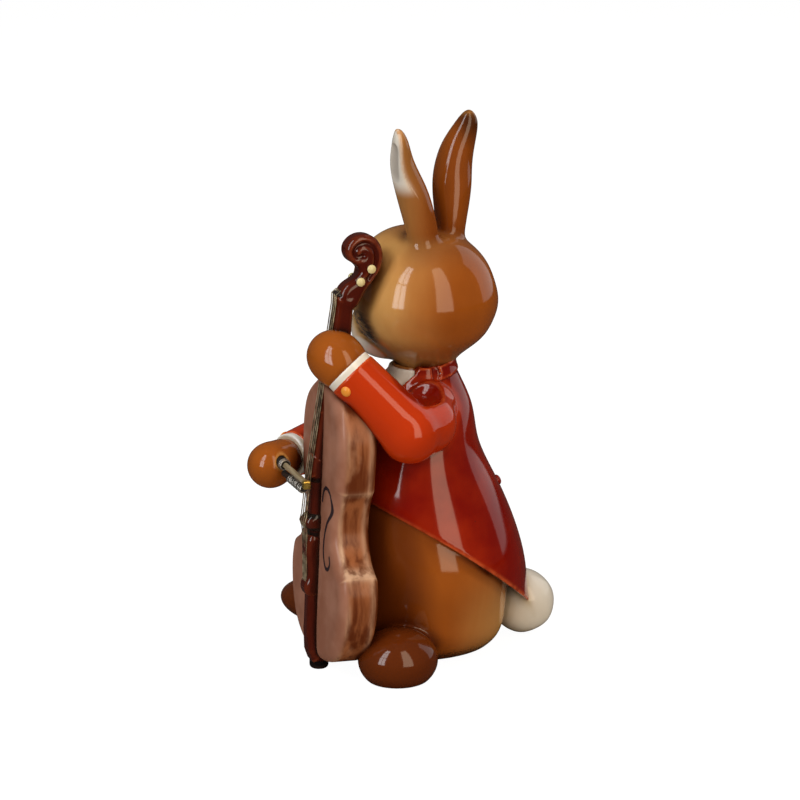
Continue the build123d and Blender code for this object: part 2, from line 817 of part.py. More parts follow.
def build_left_arm(nodes, clad, head_form):
    """The raised arm: its paw closes round the neck of the bass.  Returns its cuff button."""
    bass_body, neck, board = nodes["bass_body"], nodes["bass_neck"], nodes["fingerboard"]
    neck_centre = board_front(left_paw_level) + 0.5 * (board_thickness + neck_depth)
    centre = (bass_side + left_paw_side, neck_centre - left_paw_forward, left_paw_level)
    wrist = offset_point(centre, left_wrist_from_paw)
    sleeve = seat(make_sleeve(left_shoulder, left_elbow, wrist, left_wrist_radius), head_form, *clad)
    cuff = seat(make_cuff(left_elbow, wrist, left_cuff_radius), neck, bass_body, head_form)
    paw = Pos(*centre) * Sphere(left_paw_radius)
    paw = seat(paw, cuff, sleeve, neck, board, string_room(), bass_body, head_form)
    nodes.update(left_sleeve=sleeve, left_cuff=cuff, left_paw=paw)
    return make_cuff_button(sleeve, left_elbow, wrist, left_wrist_radius, left_button_side)


def build_right_arm(nodes, clad):
    """The bowing arm: its paw is bored for the bow.  Returns its cuff button."""
    centre = offset_point(bow_point(0, -right_paw_behind_exit),
                          (0, -right_paw_before_bow, -right_paw_below_bow))
    wrist = offset_point(centre, right_wrist_from_paw)
    sleeve = seat(make_sleeve(right_shoulder, right_elbow, wrist, right_wrist_radius), *clad)
    cuff = seat(make_cuff(right_elbow, wrist, right_cuff_radius), nodes["bass_body"])
    paw = Pos(*centre) * Sphere(right_paw_radius)
    nodes.update(right_sleeve=sleeve, right_cuff=cuff, right_paw=seat(paw, cuff, sleeve, bow_bore()))
    return make_cuff_button(sleeve, right_elbow, wrist, right_wrist_radius, right_button_side)


def main():
    nodes = {}
    build_bass(nodes)
    body_form, head_form = build_figure(nodes)
    clad = (body_form, nodes["tailcoat"], nodes["shirt"], nodes["bass_body"])
    buttons = [build_left_arm(nodes, clad, head_form), build_right_arm(nodes, clad)]
    nodes.update(cuff_buttons=Compound(children=buttons))
    nodes.update(make_bow())
    os.makedirs("parts", exist_ok=True)
    for name, shape in nodes.items():
        export_step(shape, f"parts/{name}.step")
        print(name, round(shape.volume, 2))


main()
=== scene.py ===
# %% [markdown]
# # A glazed rabbit that plays the double bass
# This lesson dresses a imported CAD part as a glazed, hand-painted ceramic figurine.
# The CAD model is the frame: it says where every piece sits and which body it rides on.
# The looks are made here: soft clay forms, painted glaze, thin wires and a wound bow.

# %% Load the frame
import bpy
import numpy as np
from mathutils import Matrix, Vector


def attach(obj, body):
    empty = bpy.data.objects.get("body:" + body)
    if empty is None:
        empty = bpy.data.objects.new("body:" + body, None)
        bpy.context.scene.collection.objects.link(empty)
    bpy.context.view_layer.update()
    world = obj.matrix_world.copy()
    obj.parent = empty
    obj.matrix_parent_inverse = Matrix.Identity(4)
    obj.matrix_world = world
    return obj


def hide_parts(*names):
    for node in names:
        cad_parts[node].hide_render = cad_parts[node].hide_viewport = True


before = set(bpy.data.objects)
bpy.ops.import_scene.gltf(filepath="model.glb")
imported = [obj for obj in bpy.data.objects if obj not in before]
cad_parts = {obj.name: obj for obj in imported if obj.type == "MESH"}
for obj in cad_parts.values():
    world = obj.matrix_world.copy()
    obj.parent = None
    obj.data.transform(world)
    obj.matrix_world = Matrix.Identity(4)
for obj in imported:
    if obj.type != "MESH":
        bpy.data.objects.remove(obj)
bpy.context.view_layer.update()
scene = bpy.context.scene
MM = 0.001
print("CAD nodes:", len(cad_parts))

# %% [markdown]
# ## Camera
# The photograph looks at the figurine's left side from a little above, with a long lens.
# A long lens from 0.7 m keeps the proportions calm, as a product photographer would.

# %% Camera
CAMERA_AZIMUTH = np.radians(70.0)
CAMERA_HEIGHT = np.radians(14.5)
CAMERA_DISTANCE = 700.0
CAMERA_TARGET = np.array([2.0, -4.0, 66.0])
camera_data = bpy.data.cameras.new("camera")
camera_data.sensor_width = 36.0
camera_data.lens = 126.0
camera = bpy.data.objects.new("camera", camera_data)
scene.collection.objects.link(camera)
toward_camera = np.array([
    np.sin(CAMERA_AZIMUTH) * np.cos(CAMERA_HEIGHT),
    -np.cos(CAMERA_AZIMUTH) * np.cos(CAMERA_HEIGHT),
    np.sin(CAMERA_HEIGHT),
])
camera.location = Vector((CAMERA_TARGET + CAMERA_DISTANCE * toward_camera) * MM)
camera.rotation_euler = Vector(-toward_camera).to_track_quat("-Z", "Y").to_euler()
scene.camera = camera
print("camera at", tuple(round(v, 3) for v in camera.location))

# %% [markdown]
# ## Light and floor
# Glaze is a mirror with colour under it, so what it reflects matters most. The room is dim, and tall
# panes of light stand on both sides of the camera, one of them split like a window.
# Only the camera sees the floor and the backdrop as bright white card: their glow would veil the glaze.

# %% Light and floor
scene.view_settings.view_transform = "Standard"
ROOM_GLOW = 0.07


def card_or_room(tree, card, room, output):
    """Shows one shader to the camera and lights the room with another."""
    mix = tree.nodes.new("ShaderNodeMixShader")
    path = tree.nodes.new("ShaderNodeLightPath")
    tree.links.new(path.outputs["Is Camera Ray"], mix.inputs[0])
    tree.links.new(room.outputs[0], mix.inputs[1])
    tree.links.new(card.outputs[0], mix.inputs[2])
    tree.links.new(mix.outputs[0], output.inputs["Surface"])


world = bpy.data.worlds.new("studio")
scene.world = world
world.use_nodes = True
tree = world.node_tree
room = tree.nodes["Background"]
room.inputs["Color"].default_value = (1.0, 0.96, 0.9, 1.0)
room.inputs["Strength"].default_value = ROOM_GLOW
backdrop = tree.nodes.new("ShaderNodeBackground")
backdrop.inputs["Color"].default_value = (1.0, 1.0, 1.0, 1.0)
card_or_room(tree, backdrop, room, tree.nodes["World Output"])


def light_pane(name, azimuth, low, width, height, distance, glow, sideways=0.0, warmth=(1.0, 1.0, 1.0)):
    """An upright pane of light that faces the figurine."""
    data = bpy.data.lights.new(name, "AREA")
    data.shape = "RECTANGLE"
    data.size = width
    data.size_y = height
    data.energy = glow * np.pi * width * height
    data.color = warmth
    pane = bpy.data.objects.new(name, data)
    scene.collection.objects.link(pane)
    angle = np.radians(azimuth)
    out = Vector((np.sin(angle), -np.cos(angle), 0.0))
    across = Vector((np.cos(angle), np.sin(angle), 0.0))
    pane.location = out * distance + across * sideways + Vector((0.0, 0.0, low + 0.5 * height))
    pane.rotation_euler = out.to_track_quat("Z", "Y").to_euler()
    return pane


STRIP_WARMTH = (1.0, 0.8, 0.58)
WINDOW_AZIMUTH = 27.0
WINDOW_SILL = 0.1
PANE_PITCH = 0.47
PANE_SIDE = 0.07
light_pane("right_strip", azimuth=101.0, low=0.02, width=0.38, height=1.5, distance=0.8, glow=3.0,
           warmth=STRIP_WARMTH)
for column in (-1, 1):
    for row in range(3):
        light_pane(f"window_{column}_{row}", WINDOW_AZIMUTH, WINDOW_SILL + PANE_PITCH * row, width=0.125,
                   height=0.44, distance=0.8, glow=5.6, sideways=PANE_SIDE * column)
light_pane("rear_fill", azimuth=195.0, low=0.05, width=1.0, height=1.2, distance=1.2, glow=0.7)
overhead = bpy.data.lights.new("overhead", "AREA")
overhead.shape = "DISK"
overhead.size = 0.8
overhead.energy = 5.0
lamp = bpy.data.objects.new("overhead", overhead)
lamp.location = (0.1, 0.0, 1.2)
lamp.visible_glossy = False
scene.collection.objects.link(lamp)

floor_mesh = bpy.data.meshes.new("floor")
floor_mesh.from_pydata([(-6, -6, 0), (6, -6, 0), (6, 6, 0), (-6, 6, 0)], [], [(0, 1, 2, 3)])
floor = bpy.data.objects.new("floor", floor_mesh)
scene.collection.objects.link(floor)
floor_paint = bpy.data.materials.new("white_card")
floor_paint.use_nodes = True
tree = floor_paint.node_tree
room_floor = tree.nodes["Principled BSDF"]
room_floor.inputs["Base Color"].default_value = (0.5, 0.48, 0.45, 1.0)
room_floor.inputs["Roughness"].default_value = 0.9
white_card = tree.nodes.new("ShaderNodeBsdfPrincipled")
white_card.inputs["Base Color"].default_value = (0.16, 0.16, 0.16, 1.0)
white_card.inputs["Roughness"].default_value = 1.0
white_card.inputs["Specular IOR Level"].default_value = 0.0
white_card.inputs["Emission Color"].default_value = (1.0, 1.0, 1.0, 1.0)
white_card.inputs["Emission Strength"].default_value = 0.97
dim_table = tree.nodes.new("ShaderNodeBsdfDiffuse")
dim_table.inputs["Color"].default_value = (0.07, 0.065, 0.06, 1.0)
mirrored = tree.nodes.new("ShaderNodeMixShader")
tree.links.new(tree.nodes.new("ShaderNodeLightPath").outputs["Is Glossy Ray"], mirrored.inputs[0])
tree.links.new(room_floor.outputs[0], mirrored.inputs[1])
tree.links.new(dim_table.outputs[0], mirrored.inputs[2])
card_or_room(tree, white_card, mirrored, tree.nodes["Material Output"])
floor_mesh.materials.append(floor_paint)
print("lights:", len(bpy.data.lights))

# %% [markdown]
# ## Clay as a distance field
# A slip-cast figurine has no sharp seams: wet slip fills every joint, and glaze rounds every edge.
# Polygon modelling fights that. A distance field loves it: each form is a formula that says how far
# a point lies outside the clay, and a soft minimum of two formulas is a joint filled with slip.
# The helpers below write such formulas in millimetres and skin them with a fine quad mesh.

# %% Splines and simple forms
def through(places, values):
    """A natural cubic spline through values, straight beyond its ends."""
    t = np.asarray(places, float)
    v = np.asarray(values, float)
    step = np.diff(t)
    size = len(t)
    rows = np.eye(size)
    right = np.zeros(size)
    for i in range(1, size - 1):
        rows[i, i - 1:i + 2] = step[i - 1], 2 * (step[i - 1] + step[i]), step[i]
        right[i] = 3 * ((v[i + 1] - v[i]) / step[i] - (v[i] - v[i - 1]) / step[i - 1])
    curve = np.linalg.solve(rows, right)
    slope = np.diff(v) / step - step * (2 * curve[:-1] + curve[1:]) / 3
    twist = np.diff(curve) / (3 * step)
    last = slope[-1] + step[-1] * (2 * curve[-2] + 3 * step[-1] * twist[-1])

    def at(place):
        i = np.clip(np.searchsorted(t, place) - 1, 0, size - 2)
        s = np.clip(place, t[0], t[-1]) - t[i]
        inside = v[i] + s * (slope[i] + s * (curve[i] + s * twist[i]))
        return inside + slope[0] * np.minimum(place - t[0], 0) + last * np.maximum(place - t[-1], 0)

    return at


def soft_min(a, b, soft):
    """The nearer of two forms, with the joint filled over a width."""
    gap = np.maximum(soft - np.abs(a - b), 0) / soft
    return np.minimum(a, b) - gap ** 3 * soft / 6


def soft_max(a, b, soft):
    """What two forms share, with the edge rounded over a width."""
    return -soft_min(-a, -b, soft)


def ball(p, centre, radii, turn=0.0):
    """An ellipsoid turned about the vertical."""
    c, s = np.cos(np.radians(turn)), np.sin(np.radians(turn))
    dx, dy, dz = p[0] - centre[0], p[1] - centre[1], p[2] - centre[2]
    u = (c * dx + s * dy) / radii[0]
    v = (c * dy - s * dx) / radii[1]
    w = dz / radii[2]
    reach = np.sqrt(u * u + v * v + w * w) + 1e-6
    slope = np.sqrt((u / radii[0]) ** 2 + (v / radii[1]) ** 2 + (w / radii[2]) ** 2) + 1e-6
    return reach * (reach - 1) / slope


def limb(p, points, radii, soft):
    """A bent limb: round tapered lengths joined softly."""
    form = None
    for a, b, ra, rb in zip(points[:-1], points[1:], radii[:-1], radii[1:]):
        run = np.subtract(b, a)
        d = [p[i] - a[i] for i in range(3)]
        t = np.clip((d[0] * run[0] + d[1] * run[1] + d[2] * run[2]) / run.dot(run), 0, 1)
        away = np.sqrt(sum((d[i] - t * run[i]) ** 2 for i in range(3)))
        part = away - (ra + (rb - ra) * t)
        form = part if form is None else soft_min(form, part, soft)
    return form


def oval_column(stations):
    """A form of ovals stacked along z: rows of level, centre y, half width, half depth."""
    table = np.array(stations, float).T
    centre, width, depth = (through(table[0], row) for row in table[1:])

    def at(p):
        a, b = width(p[2]), depth(p[2])
        dy = p[1] - centre(p[2])
        reach = np.sqrt((p[0] / a) ** 2 + (dy / b) ** 2) + 1e-6
        slope = np.sqrt((p[0] / a ** 2) ** 2 + (dy / b ** 2) ** 2) / reach + 1e-6
        return (reach - 1) / slope

    return at


print("spline test:", round(float(through([0, 1, 2], [0, 1, 4])(1.5)), 3))

# %% [markdown]
# The skin is a surface net: one vertex in each small cell that the surface crosses, one quad for each
# crossed edge. Every vertex is then slid onto the exact surface, so even a mirror glaze shows no steps.
# Two masks come along: `edge` is high on raised edges, and a second one is high where clay lies close to other
# clay or to the shelf. Real glaze runs off the first and gathers in the second; the second also puts painted
# shade into hollows, gaps between parts and the foot of the figurine.

# %% Skinning
GRID_COARSE = 4
FINE_BAND = 3.2
MASK_REACH = 0.7
POOL_AND_SHADE_REACH = 3.0


def sample_field(field, low, count, step):
    """The field on a grid, worked out finely only near the surface."""
    axes = [low[i] + step * np.arange(count[i]) for i in range(3)]
    coarse = [axis[::GRID_COARSE] for axis in axes]
    rough = field((coarse[0][:, None, None], coarse[1][None, :, None], coarse[2][None, None, :]))
    rough = np.broadcast_to(rough, [len(axis) for axis in coarse])
    values = rough
    for i in range(3):
        values = np.repeat(values, GRID_COARSE, axis=i)
    values = values[:count[0], :count[1], :count[2]].astype(np.float32)
    near = np.nonzero(np.abs(values) < FINE_BAND * GRID_COARSE * step)
    values[near] = field(tuple(axes[i][near[i]] for i in range(3)))
    return values


def surface_net(values, low, step):
    """Vertices and quads of the zero surface of a grid of values."""
    inside = values < 0
    corners = [(i, j, k) for i in (0, 1) for j in (0, 1) for k in (0, 1)]
    size = [n - 1 for n in values.shape]

    def corner(array, c):
        return array[c[0]:c[0] + size[0], c[1]:c[1] + size[1], c[2]:c[2] + size[2]]

    count = sum(corner(inside, c).astype(np.uint8) for c in corners)
    cells = np.nonzero((count > 0) & (count < 8))
    index = np.full(size, -1, np.int64)
    index[cells] = np.arange(len(cells[0]))
    total = np.zeros((len(cells[0]), 3))
    hits = np.zeros(len(cells[0]))
    for a in corners:
        for axis in range(3):
            if a[axis]:
                continue
            b = tuple(1 if i == axis else a[i] for i in range(3))
            fa = values[cells[0] + a[0], cells[1] + a[1], cells[2] + a[2]].astype(float)
            fb = values[cells[0] + b[0], cells[1] + b[1], cells[2] + b[2]].astype(float)
            cross = (fa < 0) != (fb < 0)
            t = np.where(cross, fa / np.where(cross, fa - fb, 1), 0)
            place = np.array(a, float)[None, :].repeat(len(t), 0)
            place[:, axis] = t
            total += place * cross[:, None]
            hits += cross
    points = np.array(low) + step * (np.stack(cells, 1) + total / hits[:, None])
    quads = []
    for axis in range(3):
        b, c = [i for i in range(3) if i != axis]
        start = [slice(1, -1)] * 3
        end = [slice(1, -1)] * 3
        start[axis], end[axis] = slice(0, -1), slice(1, None)
        first, second = inside[tuple(start)], inside[tuple(end)]
        at = np.stack(np.nonzero(first != second), 1)
        ring = []
        for ob, oc in ((0, 0), (1, 0), (1, 1), (0, 1)):
            cell = at.copy()
            cell[:, b] += ob
            cell[:, c] += oc
            ring.append(index[cell[:, 0], cell[:, 1], cell[:, 2]])
        quad = np.stack(ring, 1)
        out = first[at[:, 0], at[:, 1], at[:, 2]]
        if axis == 1:
            out = ~out
        quads.append(np.where(out[:, None], quad, quad[:, ::-1]))
    return points, np.concatenate(quads)


def slope_of(field, points, reach):
    """Unit outward directions of a field and its slope at points."""
    grad = np.zeros_like(points)
    for i in range(3):
        step = np.zeros(3)
        step[i] = reach
        grad[:, i] = (field((points + step).T) - field((points - step).T)) / (2 * reach)
    size = np.linalg.norm(grad, axis=1, keepdims=True) + 1e-9
    return grad / size, size[:, 0]


def add_mask(mesh, name, values):
    """A number for each vertex, which materials read by name."""
    mesh.attributes.new(name, "FLOAT", "POINT").data.foreach_set("value", values.astype(np.float32))


def cast(name, field, low, high, step, material, around=None, place=None):
    """Skins a field into an object.  around is the field of all the clay and the shelf, for the mask of glaze
    that gathers in hollows and of painted shade there.
    """
    low = np.array(low, float)
    count = np.ceil((np.array(high, float) - low) / step).astype(int) + 1
    points, quads = surface_net(sample_field(field, low, count, step), low, step)
    for _ in range(3):
        normal, size = slope_of(field, points, 0.05)
        move = np.clip(field(points.T) / np.maximum(size, 0.3), -0.7 * step, 0.7 * step)
        points = points - normal * move[:, None]
    normal, size = slope_of(field, points, 0.05)
    bend = np.zeros(len(points))
    for i in range(3):
        offset = np.zeros(3)
        offset[i] = MASK_REACH
        bend += field((points + offset).T) + field((points - offset).T)
    bend = bend / np.maximum(size, 0.3) / MASK_REACH
    world_points = points if place is None else place(points)
    world_normal = normal if place is None else place(points + normal) - world_points
    clay = around or field
    open_air = np.zeros(len(points))
    for share in (0.4, 1.0):
        probe = (world_points + world_normal * POOL_AND_SHADE_REACH * share).T
        open_air += 0.5 * np.clip(clay(probe) / (POOL_AND_SHADE_REACH * share), 0, 1)
    mesh = bpy.data.meshes.new(name)
    mesh.vertices.add(len(points))
    mesh.vertices.foreach_set("co", (world_points * MM).astype(np.float32).ravel())
    mesh.loops.add(quads.size)
    mesh.loops.foreach_set("vertex_index", quads.ravel().astype(np.int32))
    mesh.polygons.add(len(quads))
    mesh.polygons.foreach_set("loop_start", np.arange(0, quads.size, 4, dtype=np.int32))
    mesh.update(calc_edges=True)
    mesh.validate()
    mesh.shade_smooth()
    add_mask(mesh, "edge", np.clip((bend - 0.35) / 1.0, 0, 1))
    # Glaze that gathers, and painted shade: darker where other clay or the shelf lies close.
    add_mask(mesh, "pool", np.clip(1.15 - 1.15 * open_air, 0, 1))
    mesh.materials.append(material)
    piece = bpy.data.objects.new(name, mesh)
    scene.collection.objects.link(piece)
    print(f"{name}: {len(points)} vertices")
    return piece

# %% [markdown]
# ## Glaze
# The colour is painted under a clear, glassy coat. Where that coat runs thin, on raised edges, the
# colour breaks to a lighter tone; where it gathers, in hollows, it goes deep, and that deep tone also stands in
# as painted shade in hollows and between parts. One node group does this for every colour, and a second one
# adds what each kiln leaves: faint ripples and a few iron specks.

# %% Node helpers
def node(tree, kind, values=None, **settings):
    """A node with its settings and inputs; an input may be a number, a colour or another node's output."""
    made = tree.nodes.new(kind)
    for key, value in settings.items():
        setattr(made, key, value)
    for key, value in (values or {}).items():
        if isinstance(value, bpy.types.NodeSocket):
            tree.links.new(value, made.inputs[key])
        else:
            made.inputs[key].default_value = value
    return made


def tint(tree, factor, first, second):
    """A colour between two others."""
    return node(tree, "ShaderNodeMix", {0: factor, 6: first, 7: second}, data_type="RGBA").outputs[2]


def reckon(tree, operation, first, second=0.5, third=0.5):
    """One sum."""
    return node(tree, "ShaderNodeMath", {0: first, 1: second, 2: third}, operation=operation).outputs[0]


def spread(tree, value, low, high, bottom=0.0, top=1.0):
    """A value stretched from one range to another, softly, and held there."""
    values = {"Value": value, "From Min": low, "From Max": high, "To Min": bottom, "To Max": top}
    return node(tree, "ShaderNodeMapRange", values, interpolation_type="SMOOTHSTEP").outputs["Result"]


def mottle(tree, scale, detail=2.0, stretch=None):
    """Cloudy noise on the object's own coordinates."""
    place = node(tree, "ShaderNodeTexCoord").outputs["Object"]
    if stretch:
        place = node(tree, "ShaderNodeMapping", {"Vector": place, "Scale": stretch}).outputs["Vector"]
    return node(tree, "ShaderNodeTexNoise", {"Vector": place, "Scale": scale, "Detail": detail}).outputs["Fac"]


def mask(tree, name):
    """A mask that was cast with the mesh."""
    return node(tree, "ShaderNodeAttribute", attribute_name=name).outputs["Fac"]


def new_group(name, inputs, outputs):
    """An empty shader node group with named sockets."""
    group = bpy.data.node_groups.new(name, "ShaderNodeTree")
    for label, kind in inputs:
        group.interface.new_socket(label, in_out="INPUT", socket_type=kind)
    for label, kind in outputs:
        group.interface.new_socket(label, in_out="OUTPUT", socket_type=kind)
    return group, node(group, "NodeGroupInput"), node(group, "NodeGroupOutput")


COLOUR = "NodeSocketColor"
NUMBER = "NodeSocketFloat"

# %% Glaze groups
glaze_tone, entry, leave = new_group(
    "glaze_tone",
    [("Colour", COLOUR), ("Thin", COLOUR), ("Pooled_and_shaded", COLOUR), ("Edge", NUMBER), ("Pool_and_shade", NUMBER)],
    [("Colour", COLOUR)],
)
broad = mottle(glaze_tone, 90.0)
fine = mottle(glaze_tone, 420.0, 3.0)
uneven = spread(glaze_tone, broad, 0.35, 0.65, 0.75, 1.2)
# Deep tone where glaze gathers in hollows, also painted shade between parts and near the shelf.
gathered_and_shaded = reckon(glaze_tone, "MULTIPLY", entry.outputs["Pool_and_shade"], uneven)
worn = reckon(glaze_tone, "MULTIPLY", entry.outputs["Edge"], spread(glaze_tone, fine, 0.3, 0.6, 0.35, 1.0))
deep = tint(glaze_tone, gathered_and_shaded, entry.outputs["Colour"], entry.outputs["Pooled_and_shaded"])
toned = tint(glaze_tone, worn, deep, entry.outputs["Thin"])
glaze_tone.links.new(toned, leave.inputs["Colour"])

glaze_skin, entry, leave = new_group(
    "glaze_skin", [("Specks", NUMBER)], [("Height", NUMBER), ("Speck", NUMBER)])
ripple = mottle(glaze_skin, 160.0, 1.0)
place = node(glaze_skin, "ShaderNodeTexCoord").outputs["Object"]
cells = node(glaze_skin, "ShaderNodeTexVoronoi", {"Vector": place, "Scale": 190.0})
dot = spread(glaze_skin, cells.outputs["Distance"], 0.05, 0.03)
rare = node(glaze_skin, "ShaderNodeSeparateColor", {"Color": cells.outputs["Color"]}).outputs["Red"]
chosen = reckon(glaze_skin, "LESS_THAN", rare, entry.outputs["Specks"])
glaze_skin.links.new(ripple, leave.inputs["Height"])
glaze_skin.links.new(reckon(glaze_skin, "MULTIPLY", dot, chosen), leave.inputs["Speck"])


def glaze(name, paint, thin, pooled_and_shaded, specks=0.1, gloss=0.09, painter=None, coat=1.0):
    """A glazed colour: its paint, its tone where thin, and its deep tone where glaze gathers and shade is
    painted.  painter may add brushwork.
    """
    material = bpy.data.materials.new(name)
    material.use_nodes = True
    tree = material.node_tree
    shader = tree.nodes["Principled BSDF"]
    colour = paint if painter is None else painter(tree, paint)
    tone = node(tree, "ShaderNodeGroup", node_tree=glaze_tone)
    for label, value in (("Colour", colour), ("Thin", thin), ("Pooled_and_shaded", pooled_and_shaded),
                         ("Edge", mask(tree, "edge")), ("Pool_and_shade", mask(tree, "pool"))):
        if isinstance(value, bpy.types.NodeSocket):
            tree.links.new(value, tone.inputs[label])
        else:
            tone.inputs[label].default_value = value
    skin = node(tree, "ShaderNodeGroup", {"Specks": specks}, node_tree=glaze_skin)
    specked = tint(tree, skin.outputs["Speck"], tone.outputs["Colour"], (0.03, 0.012, 0.006, 1.0))
    tree.links.new(specked, shader.inputs["Base Color"])
    bump = node(tree, "ShaderNodeBump",
                {"Height": skin.outputs["Height"], "Strength": 0.12, "Distance": 0.0006})
    tree.links.new(bump.outputs["Normal"], shader.inputs["Normal"])
    shader.inputs["Roughness"].default_value = 0.38
    shader.inputs["Specular IOR Level"].default_value = 0.0
    shader.inputs["Coat Weight"].default_value = coat
    shader.inputs["Coat Roughness"].default_value = gloss
    shader.inputs["Coat IOR"].default_value = 1.5
    return material


def paint(red, green, blue):
    """A colour as a painter reads it off a chart, made linear for the renderer."""
    chart = np.array([red, green, blue]) / 255.0
    linear = np.where(chart <= 0.04045, chart / 12.92, ((chart + 0.055) / 1.055) ** 2.4)
    return tuple(linear) + (1.0,)


def fur_brushwork(tree, colour):
    """Airbrushed fur: golden in front, darkened by the shade mask (partly painted shade), cream at muzzle and
    ear linings, sooty round the cheeks, dark tips.
    """
    streaks = mottle(tree, 60.0, 3.0, stretch=(1.0, 1.0, 0.45))
    varied = tint(tree, spread(tree, streaks, 0.35, 0.7), colour, paint(160, 84, 24))
    dry = spread(tree, mottle(tree, 150.0, 3.0, stretch=(1.0, 1.0, 0.2)), 0.3, 0.7, 0.75, 1.0)
    brushed = reckon(tree, "MULTIPLY", mask(tree, "golden"), dry)
    golden = tint(tree, brushed, varied, paint(228, 180, 108))
    shaded = tint(tree, mask(tree, "shade"), golden, paint(96, 40, 10))
    creamed = tint(tree, mask(tree, "cream"), shaded, paint(252, 244, 230))
    hairs = mottle(tree, 500.0, 2.0, stretch=(0.5, 0.5, 1.6))
    soot = reckon(tree, "MULTIPLY", mask(tree, "soot"), spread(tree, hairs, 0.3, 0.6, 0.3, 1.0))
    sooty = tint(tree, soot, creamed, paint(52, 44, 36))
    return tint(tree, mask(tree, "dark"), sooty, paint(70, 34, 14))


def coat_brushwork(tree, colour):
    """Brick red, sprayed lighter and more orange on the sleeves."""
    clouds = mottle(tree, 70.0, 3.0)
    varied = tint(tree, spread(tree, clouds, 0.35, 0.7), colour, paint(164, 38, 6))
    return tint(tree, mask(tree, "sleeve"), varied, paint(196, 56, 12))


# The third colour of each glaze is its deep tone where glaze gathers and where shade is painted in hollows.
fur_glaze = glaze("fur_glaze", paint(176, 94, 28), paint(208, 146, 76), paint(88, 36, 8), 0.14,
                  painter=fur_brushwork)
white_glaze = glaze("white_glaze", paint(246, 241, 230), paint(252, 248, 240), paint(206, 190, 160), 0.04)
coat_glaze = glaze("coat_glaze", paint(134, 15, 2), paint(222, 96, 48), paint(88, 5, 1), 0.02,
                   painter=coat_brushwork)
button_glaze = glaze("button_glaze", paint(246, 160, 62), paint(252, 200, 124), paint(186, 98, 28), 0.0)
tie_glaze = glaze("tie_glaze", paint(190, 110, 44), paint(224, 160, 90), paint(96, 48, 14), 0.0)
neck_glaze = glaze("neck_glaze", paint(78, 20, 8), paint(138, 62, 34), paint(34, 7, 3), 0.0,
                   painter=lambda tree, colour: tint(tree, mask(tree, "band"), colour, paint(16, 12, 11)))
black_glaze = glaze("black_glaze", paint(20, 16, 15), paint(58, 44, 38), paint(10, 8, 8), 0.0,
                    painter=lambda tree, colour: tint(tree, mask(tree, "brown"), colour, paint(84, 26, 11)))
peg_cream = glaze("peg_cream", paint(232, 218, 162), paint(244, 236, 198), paint(170, 150, 90), 0.0)
print("glazes:", len(bpy.data.materials) - 1)

# %% [markdown]
# ## Body, feet and tail
# The body is one hollow casting: ovals stacked from the foot ring to the neck. The feet are pressed
# clay eggs, luted on before firing. All heights below are in millimetres above the shelf.

# %% Body, feet and tail
BODY_ROWS = [
    (-3.0, 3.0, 8.5, 13.0), (0.0, 3.0, 12.5, 17.0), (4.2, 3.0, 18.7, 19.6), (12.0, 3.0, 22.0, 21.0),
    (23.0, 3.0, 24.0, 21.2), (34.0, 1.8, 22.0, 19.4), (45.0, 0.9, 19.5, 17.4), (56.0, 1.0, 16.5, 14.0),
    (65.0, 1.6, 13.0, 10.6), (73.0, 2.0, 7.6, 7.4), (77.0, 2.0, 6.4, 6.4),
]
body_column = oval_column(BODY_ROWS)
LEFT_FOOT = ((22.5, -12.0, 5.4), (9.5, 10.0, 7.8), 0.0)
RIGHT_FOOT = ((-22.5, -16.2, 7.0), (7.5, 12.6, 5.9), -50.0)
TAIL = (0.0, 30.4, 8.9)


def torso(p):
    return soft_max(body_column(p), p[2] - 75.0, 1.0)


def feet(p):
    return np.minimum(ball(p, *LEFT_FOOT), ball(p, *RIGHT_FOOT))


def body_and_feet(p):
    return soft_max(soft_min(torso(p), feet(p), 2.2), -p[2], 0.8)


def tail_clay(p):
    lumps = 0.16 * np.sin(0.5 * p[0] + 1.0) * np.sin(0.5 * p[2]) + 0.1 * np.sin(0.6 * p[1] + 0.4 * p[2])
    return ball(p, TAIL, (8.4, 8.3, 8.4)) + lumps


# %% [markdown]
# ## Tailcoat and sleeves
# The coat is a skin a millimetre outside the body that sweeps back into tails. Its hem is a circle
# seen from the side, the back is split, and the sleeves are bent limbs that grow out of the shoulders.

# %% Tailcoat and sleeves
COAT_SKIN = 1.2
COAT_SWEEP = [9.5, 7.8, 5.4, 3.6, 3.6, 1.7, 0.1, 1.3, 0.8]
HEM_POINTS = np.array([(-20.0, 45.0), (3.0, 31.8), (35.0, 5.0)])
coat_rows = []
for (level, centre, width, depth), sweep in zip(BODY_ROWS[1:-1], COAT_SWEEP):
    coat_rows.append((level, centre + 0.5 * sweep, width + COAT_SKIN, depth + COAT_SKIN + 0.5 * sweep))
coat_rows.append((77.0, 2.6, 8.2, 8.0))
coat_rows.append((80.0, 3.0, 9.6, 9.2))
coat_column = oval_column(coat_rows)
chord = 2 * (HEM_POINTS[1:] - HEM_POINTS[0])
HEM_CENTRE = np.linalg.solve(chord, (HEM_POINTS[1:] ** 2).sum(1) - (HEM_POINTS[0] ** 2).sum())
HEM_RADIUS = np.linalg.norm(HEM_POINTS[0] - HEM_CENTRE)
LEFT_ARM = [(11.0, 0.8, 66.2), (17.6, -2.9, 63.6), (22.4, -8.9, 63.0), (14.0, -20.9, 77.0)]
RIGHT_ARM = [(-11.5, 0.0, 61.0), (-21.0, -12.5, 51.5), (-11.8, -27.7, 50.7)]
LEFT_RADII = [6.4, 6.8, 7.3, 6.4]
RIGHT_RADII = [6.6, 7.2, 5.8]


def cut_end(p, form, points, soft):
    """A limb cut square just at its last point."""
    along = np.subtract(points[-1], points[-2])
    along = along / np.linalg.norm(along)
    past = sum((p[i] - points[-1][i]) * along[i] for i in range(3))
    return soft_max(form, past, soft)


